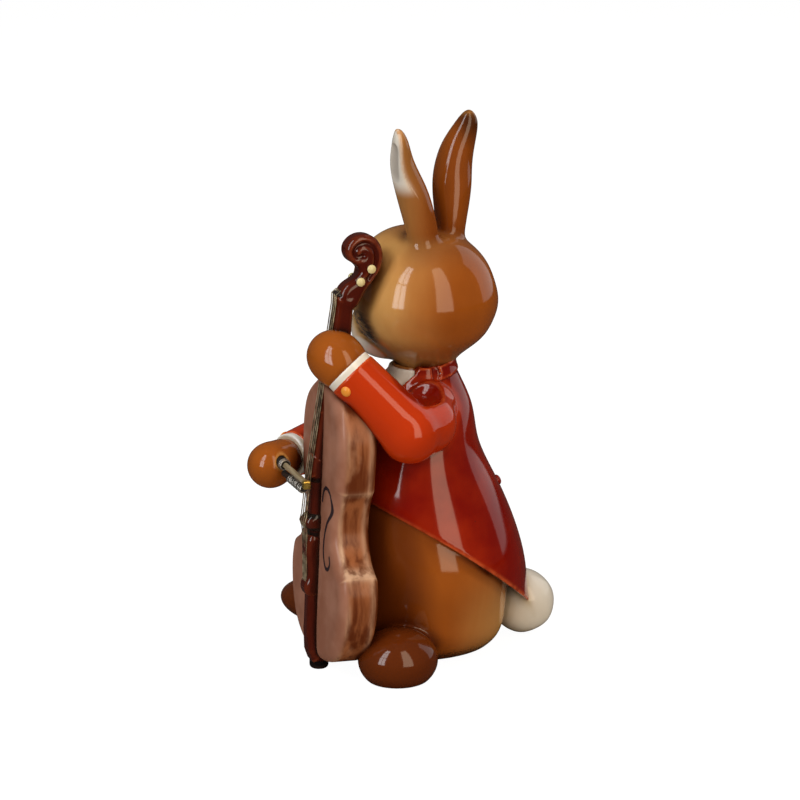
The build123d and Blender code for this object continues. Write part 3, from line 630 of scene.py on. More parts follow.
def left_forearm(p):
    return cut_end(p, limb(p, LEFT_ARM[2:], LEFT_RADII[2:], 3.0), LEFT_ARM, 0.8)


def left_upper_arm(p):
    return limb(p, LEFT_ARM[:3], LEFT_RADII[:3], 4.0)


def right_sleeve(p):
    return cut_end(p, limb(p, RIGHT_ARM, RIGHT_RADII, 3.0), RIGHT_ARM, 0.8)


CROOK = ((16.6, -5.2, 73.6), (7.4, 7.8, 6.6))


def collar_line(y):
    """The coat's top edge: up against the head behind, falling to the lapels in front."""
    return 75.4 + 0.9 * np.minimum(y + 0.8, 0) + 0.2 * np.maximum(y - 3.0, 0)


def coat_cloth(p):
    hem = HEM_RADIUS - np.sqrt((p[1] - HEM_CENTRE[0]) ** 2 + (p[2] - HEM_CENTRE[1]) ** 2)
    column = coat_column(p)
    below = p[2] - collar_line(p[1])
    skin = soft_max(column, hem, 1.6)
    opening = np.abs(p[0]) - 7.5 * (p[2] - 50.0) / 23.0
    band = np.maximum(np.maximum(-below - 3.6, 4.4 - p[1] - 0.5 * np.abs(below + 1.8)), below)
    lapel = np.maximum(np.maximum(opening - 4.6, p[1] - 2.0), np.maximum(below, 52.0 - p[2]))
    roll = soft_max(column - 0.6, np.minimum(band, lapel), 0.6)
    skin = soft_min(soft_max(skin, below, 0.8), soft_max(roll, below, 0.8), 0.4)
    skin = soft_max(skin, -np.maximum(opening, p[1] + 2.0), 0.6)
    split = np.maximum(np.maximum(np.abs(p[0]) - 0.45, p[2] - 37.0), -p[1])
    split = np.maximum(split, -(column + 1.6))
    return soft_max(skin, -split, 0.5)


def tailcoat(p):
    cloth = soft_min(coat_cloth(p), right_sleeve(p), 1.2)
    shoulder = soft_max(soft_min(cloth, left_upper_arm(p), 0.7), -ball(p, *CROOK), 1.6)
    return soft_min(shoulder, left_forearm(p), 0.8)


# %% [markdown]
# ## Head and ears
# The head is a pear-shaped casting turned towards the bow arm, with a low muzzle. The ears are leaves
# of clay, hollow in front and ridged behind, set so that each hollow looks outwards.

# %% Head and ears
HEAD = np.array([0.0, 3.4, 90.0])
HEAD_TURN = np.radians(55.0)
FACE = np.array([-np.sin(HEAD_TURN), -np.cos(HEAD_TURN), 0.0])
LEFT = np.array([np.cos(HEAD_TURN), -np.sin(HEAD_TURN), 0.0])
SKULL_LEVELS = [-17.4, -14.6, -12.2, -8.35, -4.35, 0.0, 5.4, 10.44, 14.4, 16.92, 18.0]
SKULL_RADII = np.array([6.73, 7.55, 9.74, 14.38, 16.93, 18.2, 17.38, 15.2, 11.74, 7.46, 2.55])
skull_square = through(SKULL_LEVELS, SKULL_RADII ** 2)


def on_head(forward, left, up):
    """A place given along the head's own directions."""
    return HEAD + forward * FACE + left * LEFT + np.array([0.0, 0.0, up])


def skull(p):
    dx, dy, dz = p[0] - HEAD[0], p[1] - HEAD[1], p[2] - HEAD[2]
    square = dx * dx + dy * dy
    fall = (skull_square(dz + 0.05) - skull_square(dz - 0.05)) / 0.1
    form = (square - skull_square(dz)) / np.sqrt(4 * square + fall ** 2 + 1.0)
    return soft_max(form, -17.6 - dz, 0.6)


def brow(p):
    return ball(p, on_head(5.0, 0.0, 6.0), (15.0, 13.0, 13.0), -55.0)


def muzzle(p):
    return ball(p, on_head(11.5, 0.0, -7.5), (9.6, 9.0, 8.2), -55.0)


EAR_HEIGHTS = [-0.15, 0.0, 0.25, 0.49, 0.62, 0.75, 0.865, 0.95, 1.0]
EAR_HALF_WIDTH = through(EAR_HEIGHTS, np.array([3.2, 3.3, 4.1, 4.9, 4.6, 4.05, 3.2, 2.1, 0.0]) ** 2)
EAR_FRONT = through(EAR_HEIGHTS, [2.1, 2.1, 2.05, 2.3, 2.25, 1.9, 1.3, 0.7, 0.0])
EAR_WIDEST = through(EAR_HEIGHTS, [-1.6, -1.6, -1.6, -1.0, 0.6, 0.85, 0.4, -0.1, -0.4])
EAR_BACK = through(EAR_HEIGHTS, np.array([3.8, 3.8, 4.2, 4.3, 4.9, 4.05, 3.0, 1.8, 0.0]) ** 2)
EAR_BOW = through(EAR_HEIGHTS, [0.0, 0.0, 0.8, 1.7, 1.85, 1.4, 0.5, 0.0, 0.0])


def ear(p, root, tip, facing, inward):
    """An ear: a round stalk that opens into a leaf, hollow in front and ridged behind."""
    run = tip - root
    length = np.linalg.norm(run)
    up = run / length
    front = facing - up * facing.dot(up)
    front = front / np.linalg.norm(front)
    side = np.cross(front, up)
    side = side * np.sign(side.dot(inward))
    d = [p[i] - root[i] for i in range(3)]
    t = sum(d[i] * up[i] for i in range(3)) / length
    s = sum(d[i] * side[i] for i in range(3)) - EAR_BOW(t)
    widest = EAR_WIDEST(t)
    n = sum(d[i] * front[i] for i in range(3)) - widest
    wide2 = np.maximum(EAR_HALF_WIDTH(t), 0.05)
    before = np.maximum(EAR_FRONT(t) - widest, 0.25)
    deep2 = np.where(n > 0, before ** 2, np.maximum(EAR_BACK(t), 0.05))
    reach = np.sqrt(s * s / wide2 + n * n / deep2) + 1e-6
    slope = np.sqrt((s / wide2) ** 2 + (n / deep2) ** 2) / reach + 1e-6
    form = np.maximum((reach - 1) / slope, np.maximum(t - 1.0, -0.14 - t) * length)
    opening = 0.8 * np.sqrt(wide2)
    scoop = np.sqrt((s / opening) ** 2 + ((n - before) / 0.6) ** 2) - 1
    scoop = soft_max(1.2 * scoop, np.maximum(0.6 - t, t - 0.9) * length, 3.0)
    return soft_max(form, -scoop, 0.7)


LEFT_EAR = (on_head(-2.8, 6.1, 12.6), on_head(-0.3, 13.1, 45.2))
RIGHT_EAR = (on_head(-2.8, -6.1, 12.6), on_head(-5.2, -11.6, 47.4))
EAR_TURN = np.radians(55.0)
LEFT_EAR_FACING = np.cos(EAR_TURN) * FACE + np.sin(EAR_TURN) * LEFT
RIGHT_EAR_FACING = np.cos(EAR_TURN) * FACE - np.sin(EAR_TURN) * LEFT


def left_ear(p):
    return ear(p, *LEFT_EAR, LEFT_EAR_FACING, -LEFT)


def right_ear(p):
    return ear(p, *RIGHT_EAR, RIGHT_EAR_FACING, LEFT)


NOSE = on_head(19.9, 0.0, -4.6)


def head_and_ears(p):
    head = soft_min(soft_min(skull(p), brow(p), 3.0), muzzle(p), 5.0)
    head = soft_min(head, ball(p, NOSE, (2.0, 1.5, 1.3), -55.0), 0.6)
    return soft_min(head, np.minimum(left_ear(p), right_ear(p)), 2.6)


# %% [markdown]
# ## Paws and cuffs
# The left paw closes round the neck of the bass; the right one is bored for the bow.

# %% Paws and cuffs
LEFT_PAW = np.array([9.0, -23.8, 80.6])
RIGHT_PAW = np.array([-7.8, -35.1, 49.5])
BOW_EXIT = np.array([-3.4, -33.6, 51.4])
BOW_ALONG = np.array([0.999315, 0.026168, -0.026177])


def wrist_end(points, reach):
    """A point past the end of a sleeve."""
    along = np.subtract(points[-1], points[-2])
    return np.array(points[-1]) + along / np.linalg.norm(along) * reach


def left_paw(p):
    wrist = LEFT_PAW + 0.6 * (np.array(LEFT_ARM[-1]) - LEFT_PAW)
    return soft_min(ball(p, LEFT_PAW, (6.6, 6.6, 6.4)), ball(p, wrist, (5.9, 5.9, 5.9)), 5.0)


def right_paw(p):
    wrist = RIGHT_PAW + 0.6 * (np.array(RIGHT_ARM[-1]) - RIGHT_PAW)
    paw = soft_min(ball(p, RIGHT_PAW, (5.8, 5.8, 5.8)), ball(p, wrist, (4.9, 4.9, 4.9)), 4.0)
    d = [p[i] - BOW_EXIT[i] for i in range(3)]
    t = sum(d[i] * BOW_ALONG[i] for i in range(3))
    off = np.sqrt(sum((d[i] - t * BOW_ALONG[i]) ** 2 for i in range(3)))
    return soft_max(paw, -np.maximum(off - 1.5, -8.8 - t), 0.5)


CUFF_REACH = 1.6


def cuff(p, points, radius):
    """A shirt cuff: a round band at the end of a sleeve."""
    along = wrist_end(points, 1.0) - np.array(points[-1])
    band = limb(p, [wrist_end(points, -0.4), wrist_end(points, CUFF_REACH)], [radius, radius], 0.5)
    past = sum((p[i] - points[-1][i]) * along[i] for i in range(3))
    return soft_max(soft_max(band, past - CUFF_REACH, 0.6), -past - 1.5, 0.6)


def cuffs(p):
    return np.minimum(cuff(p, LEFT_ARM, 6.2), cuff(p, RIGHT_ARM, 5.5))


# %% [markdown]
# ## Shirt and bow tie
# A little white shirt shows between the lapels, with a painted bow tie.

# %% Shirt and bow tie
def shirt(p):
    skin = oval_column([(z, c, w + 0.7, d + 0.7) for z, c, w, d in BODY_ROWS])(p)
    front = np.maximum(np.abs(p[0]) - 8.2, p[1] + 1.0)
    band = np.maximum(p[2] - 74.4, 70.6 - p[2])
    area = np.minimum(np.maximum(np.maximum(front, 49.0 - p[2]), p[2] - 72.0), band)
    return soft_max(skin, area, 0.4)


def bow_tie(p):
    """Two wings and a knot."""
    left, right = (ball(p, (side * 3.3, -6.6, 69.8), (3.5, 2.0, 2.5)) for side in (1, -1))
    wings = np.minimum(left, right)
    return soft_min(wings, ball(p, (0.0, -7.4, 69.8), (1.7, 2.2, 1.6)), 0.8)


# %% [markdown]
# ## The double bass
# The body of the bass is drawn as an outline and blown up like a cushion: the distance to the outline
# and the distance from the middle plane meet in a rounded corner. Neck and scroll are a side profile
# with the same rounded corners.

# %% Outlines
class Outline:
    """Signed distance to a closed line, kept on a fine grid."""

    def __init__(self, line, margin=6.0, step=0.2):
        line = np.asarray(line, float)
        self.low = line.min(0) - margin
        self.step = step
        count = np.ceil((line.max(0) + margin - self.low) / step).astype(int) + 1
        u = self.low[0] + step * np.arange(count[0])[:, None]
        v = self.low[1] + step * np.arange(count[1])[None, :]
        nearest = np.full(count, 1e9)
        inside = np.zeros(count, bool)
        for (au, av), (bu, bv) in zip(line, np.roll(line, -1, 0)):
            du, dv = bu - au, bv - av
            t = np.clip(((u - au) * du + (v - av) * dv) / (du * du + dv * dv + 1e-12), 0, 1)
            nearest = np.minimum(nearest, (u - au - t * du) ** 2 + (v - av - t * dv) ** 2)
            if abs(dv) > 1e-12:
                inside ^= ((av > v) != (bv > v)) & (u < du * (v - av) / dv + au)
        self.grid = np.where(inside, -1, 1) * np.sqrt(nearest)

    def __call__(self, u, v):
        fu = np.clip((u - self.low[0]) / self.step, 0, self.grid.shape[0] - 1.001)
        fv = np.clip((v - self.low[1]) / self.step, 0, self.grid.shape[1] - 1.001)
        i, j = fu.astype(int), fv.astype(int)
        a, b = fu - i, fv - j
        g = self.grid
        return ((1 - a) * ((1 - b) * g[i, j] + b * g[i, j + 1])
                + a * ((1 - b) * g[i + 1, j] + b * g[i + 1, j + 1]))


def smooth_line(points, closed=False, share=12):
    """Points of a smooth line through the given points."""
    points = np.asarray(points, float)
    if closed:
        wrap = 3
        padded = np.concatenate([points[-wrap:], points, points[:wrap + 1]])
    else:
        wrap = 0
        padded = points
    along = np.concatenate([[0], np.cumsum(np.linalg.norm(np.diff(padded, axis=0), axis=1))])
    ends = along[wrap], along[len(padded) - 1 - wrap] if closed else along[-1]
    t = np.linspace(ends[0], ends[1], share * len(points), endpoint=not closed)
    return np.stack([through(along, padded[:, i])(t) for i in range(padded.shape[1])], 1)


def rounded(flat, depth, corner_in, corner_out):
    """The rounded corner between an outline and a thickness: flat and depth are both signed distances."""
    u = np.maximum(flat + corner_in, 0) / corner_in
    v = np.maximum(depth + corner_out, 0) / corner_out
    reach = np.sqrt(u * u + v * v) + 1e-6
    slope = np.sqrt((u / corner_in) ** 2 + (v / corner_out) ** 2) / reach + 1e-6
    edge = (reach - 1) / slope
    deep = np.maximum(flat, depth)
    return np.where((u > 0) | (v > 0), np.maximum(edge, -8.0), np.maximum(deep, -8.0))


# %% Bass body
BASS_LEAN = np.radians(2.5)
BASS_PLACE = np.array([7.0, -23.6, 0.0])
half_line = np.concatenate([
    smooth_line([(3.6, 75.0), (7.4, 72.6), (12.6, 68.7), (15.3, 61.5), (15.2, 54.0), (14.8, 48.6)]),
    smooth_line([(14.8, 48.6), (12.6, 44.6), (11.6, 39.5), (12.7, 34.6), (15.4, 30.8)])[1:],
    smooth_line([(19.4, 28.6), (20.6, 24.0), (20.4, 19.0), (15.6, 8.2), (8.0, 3.7), (0.0, 2.6)]),
])
bass_line = np.concatenate([half_line, half_line[::-1] * (-1, 1)])
bass_outline = Outline(bass_line)


def bass_to_world(points):
    c, s = np.cos(BASS_LEAN), np.sin(BASS_LEAN)
    y, z = points[:, 1], points[:, 2]
    return np.stack([points[:, 0], c * y + s * z, c * z - s * y], 1) + BASS_PLACE


def bass_local(p):
    c, s = np.cos(BASS_LEAN), np.sin(BASS_LEAN)
    dy, dz = p[1] - BASS_PLACE[1], p[2] - BASS_PLACE[2]
    return p[0] - BASS_PLACE[0], c * dy - s * dz, s * dy + c * dz


def bass_clay(q):
    flat = bass_outline(q[0] + 0 * q[2], q[2] + 0 * q[0])
    front = rounded(flat, -q[1] - 5.8, 3.4, 2.4)
    back = rounded(flat, q[1] - 4.3, 2.6, 2.0)
    return np.maximum(front, back)


def bass_in_world(p):
    return bass_clay(bass_local(p))


# %% Neck and fittings
NUT = np.array([-22.4, 95.6])
NECK_TILT = np.tan(np.radians(9.2))


def board_front(level):
    return NUT[0] - (NUT[1] - level) * NECK_TILT


def bass_front(level):
    return BASS_PLACE[1] - 5.7 + level * np.tan(BASS_LEAN)


SCROLL_STEPS = [
    (0.2, -0.8), (1.6, 2.2), (3.9, 3.7), (5.4, 5.6), (4.7, 6.9), (2.8, 8.3), (1.9, 11.2), (3.2, 13.4),
    (6.2, 14.6), (9.4, 13.6), (11.4, 10.6), (11.5, 7.6), (10.0, 4.2), (6.7, -0.2), (4.4, -3.4), (2.2, -3.6),
]
scroll_outline = Outline(smooth_line(NUT + np.array(SCROLL_STEPS), closed=True))


def bar_outline(points):
    return Outline(np.array(points), margin=4.0)


shaft_outline = bar_outline([
    (board_front(66.0), 66.0), (board_front(95.0), 95.0), (board_front(95.0) + 4.2, 95.0),
    (board_front(66.0) + 6.5, 66.0),
])
board_outline = bar_outline([
    (board_front(95.0), 95.0), (board_front(50.0), 50.0), (bass_front(50.0) + 3.7, 50.0),
    (bass_front(75.0) + 3.7, 71.0), (board_front(95.0) + 1.6, 95.0),
])
STRIP_HEIGHT = 2.3
strip_outline = bar_outline([
    (bass_front(56.0) - STRIP_HEIGHT, 56.0), (bass_front(10.0) - STRIP_HEIGHT, 10.0),
    (bass_front(5.0) - 1.7, 5.0), (bass_front(2.2) - 0.6, 2.2), (bass_front(2.2) + 3.7, 2.2),
    (bass_front(56.0) + 2.0, 56.0),
])
bridge_outline = bar_outline(smooth_line([
    (bass_front(38.6) - 3.9, 38.6), (bass_front(37.2) - 3.3, 37.2), (bass_front(36.4) - 2.2, 36.4),
    (bass_front(36.6) + 1.6, 36.6), (bass_front(40.6) + 1.6, 40.6), (bass_front(40.8) - 2.2, 40.8),
    (bass_front(40.0) - 3.3, 40.0),
], closed=True))
tailpiece_outline = bar_outline(smooth_line([
    (bass_front(35.0) - 2.6, 35.0), (bass_front(34.0) - 3.0, 34.0), (bass_front(28.0) - 2.8, 28.0),
    (bass_front(24.4) - 2.7, 24.4), (bass_front(22.6) - 3.3, 22.6), (bass_front(20.8) - 3.2, 20.8),
    (bass_front(19.6) - 2.4, 19.6), (bass_front(19.8) + 1.6, 19.8), (bass_front(27.0) + 2.0, 27.0),
    (bass_front(34.8) + 1.6, 34.8),
], closed=True))


def bar(p, outline, width, corner):
    flat = outline(p[1] + 0 * p[2], p[2] + 0 * p[1])
    return rounded(flat, np.abs(p[0] - BASS_PLACE[0]) - 0.5 * width, corner, corner)


SCROLL_GROOVE = NUT + np.array([
    (7.4, 3.6), (8.9, 5.8), (9.6, 8.4), (9.0, 11.0), (7.0, 12.4), (4.9, 11.9), (4.0, 10.4),
    (4.7, 9.2), (6.0, 9.4),
])
groove_line = smooth_line(SCROLL_GROOVE, share=6)


def scroll(p):
    """The rolled end: rounded cheeks with a groove that winds into the eye."""
    y, z = p[1] + 0 * p[2], p[2] + 0 * p[1]
    best = np.full(np.shape(y + z), 1e9)
    for a, b in zip(groove_line[:-1], groove_line[1:]):
        run = b - a
        t = np.clip(((y - a[0]) * run[0] + (z - a[1]) * run[1]) / run.dot(run), 0, 1)
        best = np.minimum(best, (y - a[0] - t * run[0]) ** 2 + (z - a[1] - t * run[1]) ** 2)
    dip = 0.75 * np.exp(-best / 0.5)
    return rounded(scroll_outline(y, z), np.abs(p[0] - BASS_PLACE[0]) + dip - 2.9, 1.9, 1.7)


def bass_neck(p):
    return soft_min(scroll(p), bar(p, shaft_outline, 5.4, 1.5), 1.2)


def fingerboard(p):
    return bar(p, board_outline, 5.0, 1.3)


def front_strip(p):
    flat = strip_outline(p[1] + 0 * p[2], p[2] + 0 * p[1])
    width = 5.2 + 2.0 * np.clip((14.0 - p[2]) / 10.0, 0, 1) ** 2
    return rounded(flat, np.abs(p[0] - BASS_PLACE[0]) - 0.5 * width, 1.8, 1.8)


def all_clay(p):
    """The whole figurine as one lump on its shelf, to find hollows where glaze gathers and where shade is
    painted in.
    """
    parts = [body_and_feet, tail_clay, tailcoat, head_and_ears, left_paw, right_paw, bass_in_world,
             bass_neck, fingerboard]
    form = parts[0](p)
    for part in parts[1:]:
        form = np.minimum(form, part(p))
    return np.minimum(form, p[2] + 1.0)


# %% [markdown]
# ## Skinning the clay
# Now each form is skinned. A piece is a closed shell of its own, and it sinks a little into its
# neighbour, as luted clay does, so no gap can open between two colours.

# %% Body pieces
def settle(piece, slot, *nodes):
    """Ties a piece to the fired figurine and hides the CAD nodes it stands for."""
    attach(piece, "figurine")
    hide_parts(*nodes)


def body_beside_coat(p):
    """The body, with the slip that fills the step under the coat's hem."""
    own = body_and_feet(p)
    return np.maximum(soft_min(own, coat_cloth(p) + 0.25, 0.8), own - 0.5)


body = cast("body_casting", body_beside_coat, (-34, -30, -0.8), (34, 28, 76), 0.42, fur_glaze, all_clay)
settle(body, "fur_glaze", "body", "left_foot", "right_foot")
tail = cast("tail_ball", tail_clay, (-10, 20, -1), (10, 41, 19), 0.4, white_glaze, all_clay)
settle(tail, "white_glaze", "tail")
coat = cast("tailcoat_and_sleeves", tailcoat, (-30, -32, 3), (32, 40, 84), 0.42, coat_glaze, all_clay)
settle(coat, "coat_glaze", "tailcoat", "left_sleeve", "right_sleeve")
head = cast("head_casting", head_and_ears, (-24, -18, 71), (24, 26, 140), 0.4, fur_glaze, all_clay)
settle(head, "fur_glaze", "head", "left_ear", "right_ear")
paws = []
for name, form, centre, cad in (("left_paw_clay", left_paw, LEFT_PAW, "left_paw"),
                                ("right_paw_clay", right_paw, RIGHT_PAW, "right_paw")):
    paw = cast(name, form, centre - 10, centre + 10, 0.3, fur_glaze, all_clay)
    settle(paw, "fur_glaze", cad)
    paws.append(paw)
cuff_bands = cast("shirt_cuffs", cuffs, (-24, -36, 40), (24, -12, 90), 0.3, white_glaze, all_clay)
settle(cuff_bands, "white_glaze", "left_cuff", "right_cuff")
shirt_front = cast("shirt_front", shirt, (-12, -20, 48), (12, 14, 76), 0.35, white_glaze, all_clay)
settle(shirt_front, "white_glaze", "shirt")
tie = cast("bow_tie_clay", bow_tie, (-8, -11, 65), (8, -2, 74), 0.25, tie_glaze, all_clay)
settle(tie, "tie_glaze", "bow_tie")

# %% [markdown]
# ## What repeats: strings, pegs, buttons and windings
# Four strings follow four paths, four pegs and four buttons are the same shape on different spots, and
# the bow is wound with thread. Geometry Nodes make all of these from a path or a set of points.

# %% Geometry Nodes helpers
def new_tree(name, inputs):
    """An empty geometry tree with named inputs."""
    tree = bpy.data.node_groups.new(name, "GeometryNodeTree")
    tree.interface.new_socket("Geometry", in_out="INPUT", socket_type="NodeSocketGeometry")
    for label, kind, value in inputs:
        tree.interface.new_socket(label, in_out="INPUT", socket_type=kind).default_value = value
    tree.interface.new_socket("Geometry", in_out="OUTPUT", socket_type="NodeSocketGeometry")
    return tree, node(tree, "NodeGroupInput"), node(tree, "NodeGroupOutput")


def grow(name, source, tree, sizes):
    """Runs a tree on some geometry and keeps the result as a plain mesh object."""
    carrier = bpy.data.objects.new(name + "_path", source)
    scene.collection.objects.link(carrier)
    modifier = carrier.modifiers.new("grow", "NODES")
    modifier.node_group = tree
    sockets = {item.name: item.identifier for item in tree.interface.items_tree
               if item.item_type == "SOCKET"}
    for label, value in sizes.items():
        modifier[sockets[label]] = value
    evaluated = carrier.evaluated_get(bpy.context.evaluated_depsgraph_get())
    mesh = bpy.data.meshes.new_from_object(evaluated)
    bpy.data.objects.remove(carrier)
    mesh.name = name
    mesh.shade_smooth()
    piece = bpy.data.objects.new(name, mesh)
    scene.collection.objects.link(piece)
    print(f"{name}: {len(mesh.polygons)} faces")
    return piece


def path_curve(name, lines):
    """Poly lines in millimetres as one curve."""
    curve = bpy.data.curves.new(name, "CURVE")
    curve.dimensions = "3D"
    for line in lines:
        spline = curve.splines.new("POLY")
        spline.points.add(len(line) - 1)
        rows = np.concatenate([np.array(line) * MM, np.ones((len(line), 1))], 1)
        spline.points.foreach_set("co", rows.ravel())
    return curve


def finish_tree(tree, geometry, entry, leave):
    """Realizes and paints what a tree has made."""
    real = node(tree, "GeometryNodeRealizeInstances", {"Geometry": geometry})
    painted = node(tree, "GeometryNodeSetMaterial",
                   {"Geometry": real.outputs[0], "Material": entry.outputs["Material"]})
    tree.links.new(painted.outputs[0], leave.inputs["Geometry"])


wire_tree, entry, leave = new_tree("wire_on_path", [
    ("Radius", "NodeSocketFloat", 0.0002), ("Sides", "NodeSocketInt", 10),
    ("Material", "NodeSocketMaterial", None)])
ring = node(wire_tree, "GeometryNodeCurvePrimitiveCircle",
            {"Radius": entry.outputs["Radius"], "Resolution": entry.outputs["Sides"]})
tube = node(wire_tree, "GeometryNodeCurveToMesh",
            {"Curve": entry.outputs["Geometry"], "Profile Curve": ring.outputs["Curve"], "Fill Caps": True})
finish_tree(wire_tree, tube.outputs["Mesh"], entry, leave)

stud_tree, entry, leave = new_tree("domes_on_points", [
    ("Radius", "NodeSocketFloat", 0.001), ("Height", "NodeSocketFloat", 0.0006),
    ("Material", "NodeSocketMaterial", None)])
dome = node(stud_tree, "GeometryNodeMeshUVSphere", {"Segments": 32, "Rings": 16, "Radius": 1.0})
size = node(stud_tree, "ShaderNodeCombineXYZ", {
    "X": entry.outputs["Radius"], "Y": entry.outputs["Radius"], "Z": entry.outputs["Height"]})
outward = node(stud_tree, "GeometryNodeInputNamedAttribute", {"Name": "out"}, data_type="FLOAT_VECTOR")
facing = node(stud_tree, "FunctionNodeAlignRotationToVector",
              {"Vector": outward.outputs["Attribute"]}, axis="Z")
placed = node(stud_tree, "GeometryNodeInstanceOnPoints", {
    "Points": entry.outputs["Geometry"], "Instance": dome.outputs["Mesh"], "Rotation": facing.outputs[0],
    "Scale": size.outputs[0]})
finish_tree(stud_tree, placed.outputs["Instances"], entry, leave)


def spot_mesh(name, places, normals):
    """A point for each spot that knows which way is out."""
    mesh = bpy.data.meshes.new(name)
    mesh.from_pydata([tuple(np.array(place) * MM) for place in places], [], [])
    outward = mesh.attributes.new("out", "FLOAT_VECTOR", "POINT")
    outward.data.foreach_set("vector", np.array(normals, np.float32).ravel())
    return mesh


# %% [markdown]
# ## Painting the fur
# The decorator's airbrush is a set of soft masks on the mesh: golden towards the face, cream on muzzle
# and ear linings, soot round the cheeks, dark ear tips. The shade mask adds painted shade: the scroll's shadow
# on the head, low at the back of the head, on the body under the coat's hem and behind the bass; it also
# darkens the feet, paws and ears all over.

# %% Fur masks
def step_up(value, low, high):
    """A soft step from 0 to 1."""
    t = np.clip((value - low) / (high - low), 0, 1)
    return t * t * (3 - 2 * t)


def mesh_points(piece):
    """A piece's vertices in millimetres."""
    flat = np.zeros(3 * len(piece.data.vertices), np.float32)
    piece.data.vertices.foreach_get("co", flat)
    return flat.reshape(-1, 3).astype(float) / MM


def on_surface(field, start, direction):
    """Where a line first leaves a form, and which way is out there."""
    direction = np.array(direction, float) / np.linalg.norm(direction)
    steps = np.linspace(0, 40, 801)
    line = np.array(start)[None] + steps[:, None] * direction
    values = field(line.T)
    out = np.nonzero((values[:-1] < 0) & (values[1:] >= 0))[0][-1]
    spot = line[out] + (line[out + 1] - line[out]) * values[out] / (values[out] - values[out + 1])
    normal, _ = slope_of(field, spot[None], 0.05)
    return spot, normal[0]


def paint_masks(piece, **values):
    """Masks on a piece; those not named stay blank."""
    blank = np.zeros(len(piece.data.vertices))
    for name in ("golden", "shade", "cream", "soot", "dark"):
        add_mask(piece.data, name, values.get(name, blank))


def ear_lining(spots, root, tip, facing, form):
    """The hollow side of an ear, above its stalk."""
    up = tip - root
    along = (spots - root) @ up / up.dot(up)
    normal, _ = slope_of(form, spots, 0.05)
    near = step_up(np.abs(form(spots.T)), 0.8, 0.2)
    return near * step_up(normal @ facing, -0.25, 0.35) * step_up(along, 0.48, 0.62)


def line_distance(spots, path):
    """How far points lie from a drawn line."""
    best = np.full(len(spots), 1e9)
    for a, b in zip(path[:-1], path[1:]):
        run = b - a
        t = np.clip((spots - a) @ run / (run @ run + 1e-12), 0, 1)
        best = np.minimum(best, np.linalg.norm(spots - a - t[:, None] * run, axis=1))
    return best


def nearest(spots, places):
    """How far points lie from the nearest of some places."""
    return np.min([np.linalg.norm(spots - place, axis=1) for place in places], axis=0)


def both_sides(forward, left, up):
    """The same place on the left and the right of the face."""
    return [on_head(forward, side * left, up) for side in (1, -1)]


print("airbrush masks: golden, shade, cream, soot, dark")

# %% Face and ears
spots = mesh_points(head)
ahead = (spots - HEAD) @ FACE
aside = (spots - HEAD) @ LEFT
above = spots[:, 2] - HEAD[2]
in_ear = step_up(above, 15.5, 19.5)
on_left_ear = in_ear * (aside > 0)
golden = step_up(ahead, -15.5, 3.0) * (0.8 + 0.2 * step_up(above, 10.0, -8.0)) * (1 - in_ear)
golden = golden + on_left_ear * step_up(spots[:, 1], 3.0, -7.0) * 0.55
lining = np.maximum(ear_lining(spots, *LEFT_EAR, LEFT_EAR_FACING, left_ear),
                    ear_lining(spots, *RIGHT_EAR, RIGHT_EAR_FACING, right_ear))
EYE_LEVEL = HEAD + np.array([0.0, 0.0, 3.4])
EYES = [on_surface(head_and_ears, EYE_LEVEL, 0.76 * FACE + side * 0.65 * LEFT) for side in (1, -1)]
snout = np.linalg.norm((spots - on_head(15.0, 0.0, -9.0)) / (1.0, 1.0, 0.8), axis=1)
eye_ring = nearest(spots, [place for place, _ in EYES])
chin = nearest(spots, both_sides(13.0, 7.0, -12.8))
cheek = nearest(spots, both_sides(9.4, 13.8, -5.0))
cream = np.max([
    step_up(snout, 11.0, 7.0), step_up(chin, 5.5, 4.2), lining, 0.8 * step_up(eye_ring, 3.6, 2.6),
], axis=0)
soot = 0.95 * step_up(cheek, 8.0, 3.0) * step_up(chin, 4.0, 6.0)
# Shade mask on the head: painted shadow of the scroll and painted shade low at the back of the head; the ears
# and the back of the crown are toned darker too.
behind_scroll = nearest(spots, [on_head(8.0, 15.5, 4.0)])
shade = np.max([
    0.55 * step_up(behind_scroll, 8.0, 3.0),
    0.3 * in_ear,
    0.35 * step_up(above, -5.0, -12.0) * step_up(ahead, 2.0, -6.0),
    0.4 * step_up(above, 9.0, 16.0) * step_up(ahead, 2.0, -5.0),
], axis=0)
nose = np.linalg.norm((spots - NOSE) / (1.0, 1.0, 0.8), axis=1)
LIP = on_head(20.6, 0, -8.6)
mouth = np.minimum(
    line_distance(spots, np.array([on_head(20.5, 0, -5.6), LIP, on_head(18.5, 3.4, -11.4)])),
    line_distance(spots, np.array([LIP, on_head(18.5, -3.4, -11.4)])))
tips = step_up(above, 37.0, 45.0) * (aside < 0) * step_up(spots[:, 1], 10.5, 14.5)
dark = np.max([0.95 * tips, step_up(nose, 2.6, 1.9), 0.8 * step_up(mouth, 1.5, 0.9)], axis=0)
paint_masks(head, golden=golden, shade=shade, cream=cream, soot=soot, dark=dark)
print("head painted:", len(spots), "points")

# %% Body, paws and coat
FOOT_SHADE = 0.95
PAW_SHADE = 0.12
spots = mesh_points(body)
on_feet = step_up(feet(spots.T), 1.5, 0.3)
golden = 0.75 * step_up(spots[:, 1], 0.0, 20.0) * step_up(spots[:, 2], 34.0, 8.0)
